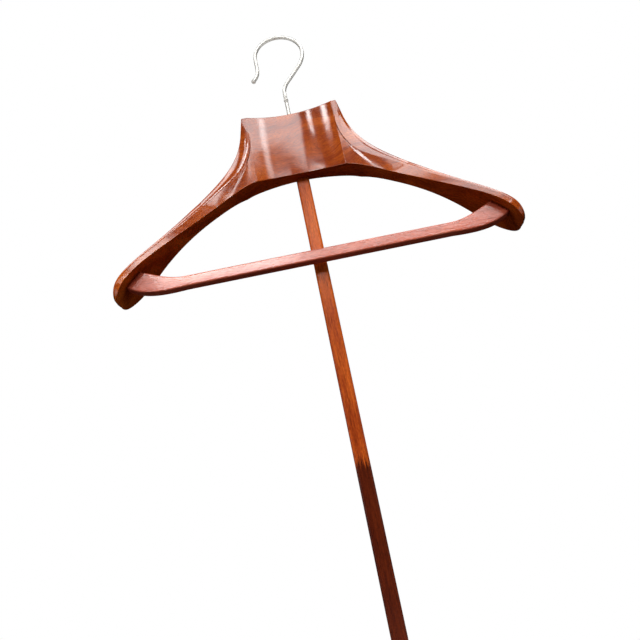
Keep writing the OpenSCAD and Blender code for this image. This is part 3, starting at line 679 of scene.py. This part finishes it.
def make_hanger(material):
    """Neck and both shoulders in one skin."""
    sections = hanger_sections()
    right = [hanger_ring(sections, i) for i in range(len(sections))]
    points, faces = skin(mirrored(right))
    new_piece("hanger", points, faces, ["hanger_body"], material, flat_faces=False)


# ------------------------ trouser bar
BAR_EDGE_R = 1.8
BAR_STEPS, BAR_BEND_STEPS = 40, 24


def bar_outlines():
    """Pairs of (upper point, lower point) along the bar's right half, up to the shoulder's underside."""
    top_end = bez(UNDER_CURVE, bez_at(UNDER_CURVE, 1, -BAR_DROP + BAR_RISE))
    low_end = bez(UNDER_CURVE, bez_at(UNDER_CURVE, 1, -BAR_DROP + BAR_RISE - BAR_END_H))
    bend_x = top_end[0] - BAR_BEND_L
    top_z, low_z = -BAR_DROP, -BAR_DROP - BAR_H
    top_curve = [(bend_x, top_z), (bend_x + 0.34 * BAR_BEND_L, top_z),
                 (top_end[0] - 0.36 * BAR_BEND_L, top_end[1] - 0.5 * BAR_RISE), top_end]
    low_curve = [(bend_x, low_z), (bend_x + 0.64 * BAR_BEND_L, -BAR_DROP - 1.15 * BAR_H),
                 (low_end[0] - 0.285 * BAR_BEND_L, low_end[1] - 0.249 * BAR_BEND_L), low_end]
    straight = [bend_x * i / BAR_STEPS for i in range(BAR_STEPS)]
    bend = [j / BAR_BEND_STEPS for j in range(BAR_BEND_STEPS + 1)]
    pairs = [((x, top_z), (x, low_z)) for x in straight]
    return pairs + [(bez(top_curve, t), bez(low_curve, t)) for t in bend]


def make_bar(material):
    """Flat bar with upswept ends that stop at the shoulders' undersides."""
    right = []
    for top, low in bar_outlines():
        top, low = Vector(top), Vector(low)
        tall = (top - low).length
        up = (top - low) / tall
        flat = rounded_rectangle((BAR_LOW.y, 0), (BAR_HIGH.y, tall), BAR_EDGE_R, 5)
        right.append([((low + up * h).x, y, NECK_TOP_Z + (low + up * h).y) for y, h in flat])
    points, faces = skin(mirrored(right))
    new_piece("bar", points, faces, ["trouser_bar"], material)


# ------------------------ hook
WIRE_R, STEM_H, BALL_R = 2.2, 38.0, 2.9
COLLAR_Z, COLLAR_H, COLLAR_R = 27.0, 1.6, 2.8
# The wire's bends above the stem: (radius, turn in degrees), or (0, length) for a straight run
HOOK_MOVES = [(27.3, 38), (0, 28.6), (-40, 38), (-29.5, 180), (0, 18), (23, 41)]
# The stem's head stands under the bush with a little play. Its edges are chamfered
BUSH_L, HEAD_PLAY, HEAD_H, HEAD_R, HEAD_CHAMFER = 18.0, 0.3, 2.0, 3.1, 0.3
HEAD_FOOT = -BUSH_L - HEAD_PLAY - HEAD_H
# The stem's radius steps from the head's to the wire's over this height
STEP_H = 0.02
# Degrees of a bend per point, points per straight run, along the ball and round the wire
BEND_STEP, RUN_STEPS, BALL_STEPS, WIRE_SIDES = 3, 6, 14, 28
# Parts of the stem below the collar, and of the collar
STEM_STEPS, COLLAR_STEPS = 8, 10
# The ball's skin ends in a small flat face, at this share of a half turn
BALL_CLOSED = 0.995
# Differences up to this are rounding errors
TINY = 1e-6


def stem_line():
    """The straight stem as (x, z, heading) points from its head up to the collar's top."""
    heights = [HEAD_FOOT + h for h in (0, HEAD_CHAMFER, HEAD_H - HEAD_CHAMFER, HEAD_H, HEAD_H + STEP_H)]
    heights += [mix(HEAD_FOOT + HEAD_H + STEP_H, COLLAR_Z, i / STEM_STEPS) for i in range(1, STEM_STEPS)]
    heights += [COLLAR_Z + COLLAR_H * (i / COLLAR_STEPS) for i in range(COLLAR_STEPS + 1)]
    return [(0.0, z, 0.0) for z in heights]


def wire_line():
    """The wire's middle line as (x, z, heading), heading 0 up and a quarter turn towards +X."""
    line = stem_line()
    x, z, heading = 0.0, STEM_H, 0.0
    for radius, amount in HOOK_MOVES:
        if radius == 0:
            across, up = math.sin(heading), math.cos(heading)
            line += [(x + amount * k / RUN_STEPS * across, z + amount * k / RUN_STEPS * up, heading)
                     for k in range(RUN_STEPS)]
            x, z = x + amount * across, z + amount * up
            continue
        turn = math.radians(amount) * (1 if radius > 0 else -1)
        cx, cz = x + radius * math.cos(heading), z - radius * math.sin(heading)
        steps = math.ceil(amount / BEND_STEP)
        for k in range(steps):
            a = heading + turn * k / steps
            line.append((cx - radius * math.cos(a), cz + radius * math.sin(a), a))
        heading += turn
        x, z = cx - radius * math.cos(heading), cz + radius * math.sin(heading)
    line.append((x, z, heading))
    return line


def wire_r(x, z):
    """Radius of the hook's skin at a point of its middle line, wider at the head and the collar."""
    if abs(x) > TINY:
        return WIRE_R
    if z < HEAD_FOOT + HEAD_H + STEP_H / 2:
        from_face = min(z - HEAD_FOOT, HEAD_FOOT + HEAD_H - z)
        return HEAD_R - (HEAD_CHAMFER if from_face < HEAD_CHAMFER / 2 else 0)
    if COLLAR_Z <= z <= COLLAR_Z + COLLAR_H + TINY:
        rise = math.sin(math.pi * (z - COLLAR_Z) / COLLAR_H)
        return WIRE_R + (COLLAR_R - WIRE_R) * max(rise, 0) ** 0.5
    return WIRE_R


def ball_stations(x, z, heading):
    """Points past the wire's end as (x, z, heading, radius), which make the ball on its tip."""
    start = math.asin(WIRE_R / BALL_R)
    stations = []
    for k in range(BALL_STEPS + 1):
        a = mix(start, math.pi * BALL_CLOSED, k / BALL_STEPS)
        s = -BALL_R * math.cos(a) + BALL_R * math.cos(start)
        stations.append((x + s * math.sin(heading), z + s * math.cos(heading), heading, BALL_R * math.sin(a)))
    return stations


def make_hook(material):
    """Bent wire with a head under the bush, a thin collar and a ball on the tip, in one skin."""
    line = wire_line()
    stations = [(x, z, heading, wire_r(x, z)) for x, z, heading in line[:-1]] + ball_stations(*line[-1])
    rings = []
    for x, z, heading, r in stations:
        section = circle((0.0, 0.0), r, WIRE_SIDES)
        rings.append([
            (x + out * math.cos(heading), HOOK_Y + y, NECK_TOP_Z + z - out * math.sin(heading))
            for out, y in section
        ])
    points, faces = skin(rings)
    new_piece("hook_wire", points, faces, ["hook"], material, body="hook", flat_faces=False)


# ------------------------ legs and rails
# Rounding of the long edges of legs and of rails, and of both at their ends
LEG_R, RAIL_R, END_R = 2.0, 1.5, 0.8
# A leg's side at its foot, and the length of its square top
LEG_FOOT_S, SQUARE_L = 22.0, 72.0
# The tenons' lengths, their thickness, and how much lower they are than their rail at each edge
APRON_TENON_L, STRETCHER_TENON_L, TENON_T, TENON_SHOULDER = 11.0, 8.0, 8.0, 5.0


def make_stick(name, axis, stations, r, material):
    """Leg or rail, named after the CAD node that it replaces."""
    points, faces = skin(stick_rings(axis, stations, r, END_R))
    new_piece(name, points, faces, [name], material)


def make_leg(name, material):
    """Leg with plumb outer sides; its two inner sides taper below the aprons."""
    low, high = box_mm(name)
    side = high.x - low.x
    lost = side - LEG_FOOT_S

    def station(z, cut):
        x0, x1 = (low.x, high.x - cut) if low.x < 0 else (low.x + cut, high.x)
        y0, y1 = (low.y, high.y - cut) if low.y < 0 else (low.y + cut, high.y)
        return z, (x0, y0), (x1, y1)

    square_z = high.z - SQUARE_L
    stations = [station(low.z, lost), station(square_z, 0), station(high.z, 0)]
    make_stick(name, "Z", stations, LEG_R, material)


def make_rail(name, tenon, material):
    """Apron or stretcher, thinner and lower where its tenons enter the legs."""
    low, high = box_mm(name)
    axis = "X" if high.x - low.x > high.y - low.y else "Y"
    along, across = (0, 1) if axis == "X" else (1, 0)
    side = (high[across] - low[across] - TENON_T) / 2
    full = (low[across], low.z), (high[across], high.z)
    tongue = (low[across] + side, low.z + TENON_SHOULDER), (high[across] - side, high.z - TENON_SHOULDER)
    ends = low[along], low[along] + tenon, high[along] - tenon, high[along]
    stations = [(ends[0], *tongue), (ends[1], *tongue), (ends[1], *full)]
    stations += [(ends[2], *full), (ends[2], *tongue), (ends[3], *tongue)]
    make_stick(name, axis, stations, RAIL_R, material)


# ------------------------ seat
# Radii in plan of the seat's corners and of those in its notch, and the notch's play round the post
SEAT_R, NOTCH_R, NOTCH_PLAY = 10.0, 2.5, 0.1
DISH_R, DISH_DEPTH, DISH_RIM = 150.0, 4.0, 12.0
# Rounding of the upper and the lower edge, and of the notch's upper edge
TOP_ROUND, LOW_ROUND, NOTCH_ROUND = 5.0, 2.0, 0.6
NOTCH_SHARE = NOTCH_ROUND / TOP_ROUND
DISH_RINGS = 19


def seat_outline():
    """Points round the seat, counterclockwise from above, each with its share of the edge's rounding."""
    low, high = SEAT_LOW, SEAT_HIGH
    x, y0 = POST_HIGH.x + NOTCH_PLAY, POST_LOW.y - NOTCH_PLAY
    outline = []
    # Each corner with the quarter turns at which its arc starts
    corners = [(low.x, low.y, 2), (high.x, low.y, 3), (high.x, high.y, 0), (low.x, high.y, 1)]
    for cx, cy, turn in corners:
        mx = cx + (SEAT_R if cx < 0 else -SEAT_R)
        my = cy + (SEAT_R if cy < 0 else -SEAT_R)
        for a in quarter(8):
            a += turn * math.pi / 2
            outline.append((mx + SEAT_R * math.cos(a), my + SEAT_R * math.sin(a), 1.0))
        if turn == 0:
            outline += [(x + 2 * TOP_ROUND, high.y, 1.0), (x, high.y, NOTCH_SHARE)]
            for side, angles in ((1, quarter(3)), (-1, list(reversed(quarter(3))))):
                for a in angles:
                    px = side * (x - NOTCH_R + NOTCH_R * math.cos(a))
                    outline.append((px, y0 + NOTCH_R - NOTCH_R * math.sin(a), NOTCH_SHARE))
            outline += [(-x, high.y, NOTCH_SHARE), (-x - 2 * TOP_ROUND, high.y, 1.0)]
    return outline


def inset(outline, amount):
    """The outline moved inwards by an amount times each point's share, with mitred corners."""
    moved = []
    for i, (x, y, share) in enumerate(outline):
        here, before = Vector((x, y)), Vector(outline[i - 1][:2])
        after = Vector(outline[(i + 1) % len(outline)][:2])
        d1, d2 = (here - before).normalized(), (after - here).normalized()
        n1, n2 = Vector((-d1.y, d1.x)), Vector((-d2.y, d2.x))
        moved.append(here + (n1 + n2) / (1 + n1.dot(n2)) * amount * share)
    return moved


def dish_z(x, y, centre_y):
    """Height of the seat's top over its rim: a hollow with a softened rim, rising a little past it."""
    off = math.hypot(x, y - centre_y)
    depth = DISH_DEPTH * (1 - (off / DISH_R) ** 2)
    soft = DISH_RIM / DISH_R * DISH_DEPTH
    return -(depth + math.sqrt(depth * depth + soft * soft)) / 2 + soft / 2 * (off / DISH_R) ** 4


def seat_edge_rings(outline):
    """Rings up the seat's edge, from its rounded lower to its rounded upper edge."""
    turns = [(a, SEAT_LOW.z, LOW_ROUND) for a in reversed(quarter(4))]
    turns += [(a, SEAT_HIGH.z, -TOP_ROUND) for a in quarter(7)]
    rings = []
    for a, z, r in turns:
        edge = inset(outline, abs(r) * (1 - math.cos(a)))
        rings.append([(*p, z + r * (1 - math.sin(a))) for p in edge])
    return rings


def dish_points(centre_y):
    """Points in circles over the seat's hollow and its rim, for its top to curve between."""
    points = [Vector((0.0, centre_y))]
    for k in range(1, DISH_RINGS + 1):
        r = k * (DISH_R + DISH_RIM) / DISH_RINGS
        points += [Vector(p) for p in circle((0.0, centre_y), r, 8 + 6 * k)]
    return points


def make_seat(material):
    """Solid board with eased edges, dished for sitting and notched round the post."""
    outline = seat_outline()
    centre_y = (SEAT_LOW.y + SEAT_HIGH.y) / 2
    rings = seat_edge_rings(outline)
    points, faces = skin(rings, closed_ends=False)
    n = len(outline)
    faces.append(tuple(range(n)))
    rim = [Vector(p[:2]) for p in rings[-1]]
    flat, _, triangles, _, _, _ = delaunay_2d_cdt(rim + dish_points(centre_y), [], [list(range(n))], 1, 1e-5)
    first = len(points)
    points += [(p.x, p.y, SEAT_HIGH.z + dish_z(p.x, p.y, centre_y)) for p in flat]
    faces += [tuple(first + i for i in triangle) for triangle in triangles]
    new_piece("seat", points, faces, ["seat_panel"], material)


# ------------------------ bush and glides
FLANGE_R, FLANGE_H, SLEEVE_R, BORE_R = 6.0, 1.2, 4.0, 2.25
# The flange's dome takes this share of its height, and the bore's upper edge is chamfered
DOME_SHARE, BORE_CHAMFER = 0.8, 0.4


def make_bush(material):
    """Sleeve with a domed flange, in which the hook's stem turns."""
    top, foot = NECK_TOP_Z + FLANGE_H, NECK_TOP_Z - BUSH_L
    dome_r = FLANGE_H * DOME_SHARE
    profile = [(BORE_R, foot), (SLEEVE_R, foot), (SLEEVE_R, NECK_TOP_Z), (FLANGE_R, NECK_TOP_Z)]
    profile += [
        (FLANGE_R - dome_r * (1 - math.cos(a)), top - dome_r * (1 - math.sin(a))) for a in quarter(6)
    ]
    profile += [(BORE_R + BORE_CHAMFER, top), (BORE_R, top - BORE_CHAMFER), (BORE_R, foot)]
    points, faces = skin(lathe(profile, (0, HOOK_Y)), closed_ends=False)
    new_piece("bush", points, faces, ["hook_bush"], material)


GLIDE_R, GLIDE_H, PIN_R, PIN_TOP = 9.0, 3.0, 1.5, 17.0
GLIDE_ROUND, GLIDE_CHAMFER = 2.0, 0.3
# The glides' ends are small flat faces of this radius
AXIS_R = 0.2


def make_glides(material):
    """Four domed glides, each held by its pin in a leg's foot."""
    profile = [(AXIS_R, 0), (GLIDE_R - GLIDE_ROUND, 0)]
    profile += [
        (GLIDE_R - GLIDE_ROUND * (1 - math.sin(a)), GLIDE_ROUND * (1 - math.cos(a))) for a in quarter(6)
    ]
    profile += [(GLIDE_R, GLIDE_H - GLIDE_CHAMFER), (GLIDE_R - GLIDE_CHAMFER, GLIDE_H), (PIN_R, GLIDE_H)]
    profile += [(PIN_R, PIN_TOP), (AXIS_R, PIN_TOP)]
    points, faces = [], []
    low, high = box_mm("foot_glides")
    for x in (low.x + GLIDE_R, high.x - GLIDE_R):
        for y in (low.y + GLIDE_R, high.y - GLIDE_R):
            more_points, more_faces = skin(lathe(profile, (x, y)))
            faces += [tuple(len(points) + i for i in face) for face in more_faces]
            points += more_points
    new_piece("glides", points, faces, ["foot_glides"], material)


# ------------------------ camera
# Fitted to the photo. The place is in millimetres, the angles are degrees
CAMERA_PLACE = (-12.4, HANGER_Y - 630.8, NECK_TOP_Z - 570.7)
CAMERA_PITCH, CAMERA_ROLL = 25.2, 11.45
FOCAL_PX, PICTURE_PX, SENSOR_MM = 700.0, 640.0, 36.0


def make_camera():
    """Camera that sees the hanger from below and a little tilted, as in the photo."""
    camera = bpy.data.cameras.new("camera")
    camera.sensor_width = SENSOR_MM
    camera.lens = camera.sensor_width * FOCAL_PX / PICTURE_PX
    camera.clip_start = 0.01
    eye = new_object("camera", camera)
    pitch, roll = math.radians(CAMERA_PITCH), math.radians(CAMERA_ROLL)
    forward = Vector((0, math.cos(pitch), math.sin(pitch)))
    right = Vector((1, 0, 0))
    up = right.cross(forward)
    turned_right = right * math.cos(roll) - up * math.sin(roll)
    turned_up = right * math.sin(roll) + up * math.cos(roll)
    eye.matrix_world = Matrix([
        [turned_right[i], turned_up[i], -forward[i], CAMERA_PLACE[i] * MM] for i in range(3)
    ] + [[0, 0, 0, 1]])
    bpy.context.scene.camera = eye


# ------------------------ floor and light
# The lamps face a point just under the neck. From here on lengths are metres
LIT_DROP, LIGHT_DISTANCE = 0.1, 4.0
LIT_PLACE = (0.0, HANGER_Y * MM, NECK_TOP_Z * MM - LIT_DROP)


def feathered(lamp, feather, wide, tall):
    """Lets a lamp that spans wide by tall degrees fall off over the given degrees at its edges."""
    lamp.use_nodes = True
    tree = lamp.node_tree
    spot = add(tree, "SeparateXYZ", {"Vector": add(tree, "NewGeometry").outputs["Parametric"]})
    shares = []
    for axis, span in (("X", wide), ("Y", tall)):
        off = add(tree, "Math", {0: spot.outputs[axis], 1: 0.5}, operation="SUBTRACT").outputs[0]
        off = add(tree, "Math", {0: off}, operation="ABSOLUTE").outputs[0]
        shares.append(map_range(tree, off, 0.5 - feather / span, 0.5, 1.0, 0.0, "SMOOTHSTEP"))
    strength = add(tree, "Math", {0: shares[0], 1: shares[1]}, operation="MULTIPLY").outputs[0]
    feed(tree, tree.nodes["Emission"], {"Strength": strength})


def softbox(name, azimuth, elevation, radiance, feather=0.0, distance=LIGHT_DISTANCE):
    """Lamp that spans the given angles as seen from the hanger. Azimuth 0 is in front."""
    az, el = math.radians(sum(azimuth) / 2), math.radians(sum(elevation) / 2)
    towards = Vector((math.sin(az) * math.cos(el), -math.cos(az) * math.cos(el), math.sin(el)))
    wide, tall = azimuth[1] - azimuth[0] + feather, elevation[1] - elevation[0] + feather
    lamp = bpy.data.lights.new(name, "AREA")
    lamp.shape = "RECTANGLE"
    lamp.size = 2 * distance * math.tan(math.radians(wide) / 2) * math.cos(el)
    lamp.size_y = 2 * distance * math.tan(math.radians(tall) / 2)
    lamp.energy = radiance * math.pi * lamp.size * lamp.size_y
    if feather:
        feathered(lamp, feather, wide, tall)
    panel = new_object(name, lamp)
    panel.location = Vector(LIT_PLACE) + towards * distance
    panel.rotation_euler = towards.to_track_quat("Z", "Y").to_euler()
    panel.visible_camera = False


def light_scene():
    """Soft lamps by (azimuths), (elevations) and radiance. right_strip hangs in front of upper_box."""
    softbox("upper_box", (-7.4, 49), (40.2, 58), 7.2, feather=1.8)
    softbox("right_strip", (21.5, 25.5), (37.5, 44), 8.0, feather=2.5, distance=3.9)
    softbox("low_left_box", (-17, -1.5), (27.5, 33.3), 20.0, feather=1)
    softbox("left_wing_box", (-16.5, -5), (34.2, 37.6), 10.0, feather=0.8)
    softbox("low_right_box", (-1.5, 22), (28.5, 32), 12.0, feather=3)
    softbox("right_wing_box", (8, 22), (34.0, 37.9), 6.0, feather=0.8)
    softbox("edge_box", (-24, -13.5), (44.5, 47.5), 8.0, feather=1)
    softbox("left_slit", (-15, -12), (41.4, 46), 22.0, feather=1)
    softbox("far_slit", (-27, -23.5), (41.2, 45), 22.0, feather=1)
    softbox("upper_left_box", (-60, -31), (54.5, 66.5), 7.0, feather=3)
    softbox("side_left_box", (-98, -63), (55, 66), 6.0, feather=3)
    softbox("upper_right_box", (52, 105), (54.5, 66.5), 7.0, feather=3)
    softbox("tip_box", (-45, -20), (24, 34), 3.0)
    softbox("front_left_box", (-80, -45), (2, 20), 2.4)
    softbox("front_right_box", (45, 80), (2, 20), 1.4)
    softbox("top_box", (-60, 60), (70, 88), 0.4)
    softbox("rear_left_box", (-165, -120), (40, 52), 2.2)
    softbox("rear_right_box", (120, 165), (40, 52), 2.2)


# Brightness of the room in reflections and as a fill, by height: 0 straight below, 0.5 the horizon, 1 above
ROOM = [(0.0, 1.0), (0.495, 1.0), (0.52, 0.03)]
FILL = [(0.40, 0.02), (0.52, 0.13), (1.0, 0.13)]


def make_world():
    """Room that is plain white to the camera, and in reflections white below the horizon and dim above."""
    world = bpy.data.worlds.new("world")
    bpy.context.scene.world = world
    world.use_nodes = True
    tree = world.node_tree
    path = add(tree, "LightPath").outputs
    way = add(tree, "SeparateXYZ", {"Vector": add(tree, "TexCoord").outputs["Generated"]})
    height = multiply_add(tree, way.outputs["Z"], 0.5, 0.5)
    room, fill = grey_ramp(tree, height, ROOM), grey_ramp(tree, height, FILL)
    light = add(tree, "Mix", {0: path["Is Glossy Ray"], 2: fill, 3: room}).outputs[0]
    seen = any_of(tree, path["Is Camera Ray"], path["Is Transmission Ray"])
    strength = add(tree, "Mix", {0: seen, 2: light, 3: 1.0}).outputs[0]
    feed(tree, tree.nodes["Background"], {"Color": (1, 1, 1, 1), "Strength": strength})


# Radius of the floor, and the distances from its middle between which it fades to plain white
FLOOR_R, FLOOR_FADE = 2.2, (0.9, 1.9)


def floor_material():
    """Pale matt floor that fades to plain white away from the object and throws little light up at it."""
    material, tree, shader = new_material("floor")
    place = add(tree, "TexCoord").outputs["Object"]
    away = add(tree, "VectorMath", {0: place}, operation="LENGTH").outputs["Value"]
    fade = map_range(tree, away, *FLOOR_FADE, kind="SMOOTHSTEP")
    path = add(tree, "LightPath").outputs
    seen = any_of(tree, path["Is Camera Ray"], path["Is Transmission Ray"], path["Is Glossy Ray"])
    white = add(tree, "Emission", {"Color": (1, 1, 1, 1), "Strength": 1.0})
    dim = add(tree, "BsdfDiffuse", {"Color": (0.07, 0.068, 0.065, 1)})
    faded = add(tree, "MixShader", {0: fade, 1: shader.outputs[0], 2: white.outputs[0]})
    shown = add(tree, "MixShader", {0: seen, 1: dim.outputs[0], 2: faded.outputs[0]})
    feed(tree, tree.nodes["Material Output"], {"Surface": shown.outputs[0]})
    feed(tree, shader, {"Base Color": (0.80, 0.79, 0.77, 1.0), "Roughness": 0.9, "Specular IOR Level": 0.1})
    return material


def make_floor():
    """Round floor, a stage that isn't part of the object."""
    rim = [(*p, 0.0) for p in circle((0.0, 0.0), FLOOR_R, 96)]
    mesh = bpy.data.meshes.new("floor")
    mesh.from_pydata(rim, [], [tuple(range(len(rim)))])
    mesh.materials.append(floor_material())
    floor = new_object("floor", mesh)


# ------------------------ the scene
make_camera()
lacquer = wood("lacquered_mahogany", "X", coat_roughness=0.085, swirl=0.05, seed=21.0)
# The bar's tones carry a painted sheen along with its stain
bar_wood = wood("bar_mahogany", "X", tones=SALMON_AND_PAINTED_SHEEN, coat_roughness=0.12, seed=3.0, open_grain=0.6)
# The post's lower part is painted darker, as painted shade
post_wood = wood("post_mahogany", "Z", tones=POST_MAHOGANY, coat=0.25, coat_roughness=0.22, seed=5.0,
                 open_grain=0.15, painted_shade_tones=DARK_MAHOGANY_AND_PAINTED_SHADE)
leg_wood = wood("leg_mahogany", "Z", tones=DARK_MAHOGANY_AND_PAINTED_SHADE, seed=6.0)
rail_wood = wood("rail_mahogany", "X", tones=DARK_MAHOGANY_AND_PAINTED_SHADE, seed=7.0)
side_wood = wood("side_mahogany", "Y", tones=DARK_MAHOGANY_AND_PAINTED_SHADE, seed=9.0)
seat_wood = wood("seat_mahogany", "Y", tones=DARK_MAHOGANY_AND_PAINTED_SHADE, seed=11.0)
steel = metal("hook_steel", (0.60, 0.585, 0.55), 0.48)
brass = metal("brass", (0.72, 0.50, 0.22), 0.3)
plastic = moulded_plastic("glide_plastic", (0.03, 0.028, 0.026))
bare = wood("bare_wood", "Z", tones=PALE, coat=0.0, roughness=0.7)
make_hanger(lacquer)
make_bar(bar_wood)
make_hook(steel)
make_bush(brass)
for corner in ("front_left_leg", "front_right_leg", "rear_left_leg", "rear_right_leg"):
    make_leg(corner, leg_wood)
for rail in ("front_apron", "rear_apron"):
    make_rail(rail, APRON_TENON_L, rail_wood)
for rail in ("left_apron", "right_apron"):
    make_rail(rail, APRON_TENON_L, side_wood)
for rail in ("left_stretcher", "right_stretcher"):
    make_rail(rail, STRETCHER_TENON_L, side_wood)
for rail in ("rear_stretcher", "cross_stretcher"):
    make_rail(rail, STRETCHER_TENON_L, rail_wood)
make_seat(seat_wood)
make_glides(plastic)
# Nodes that keep their CAD shape
finishes = {
    "post": post_wood, "bar_dowels": bare, "corner_blocks": bare, "post_neck_screws": brass,
    "post_base_screws": brass, "corner_block_screws": brass, "seat_screws": brass,
}
for name, material in finishes.items():
    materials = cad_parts[name].data.materials
    materials.clear()
    materials.append(material)
light_scene()
make_world()
make_floor()
bpy.context.scene.view_settings.view_transform = "Standard"
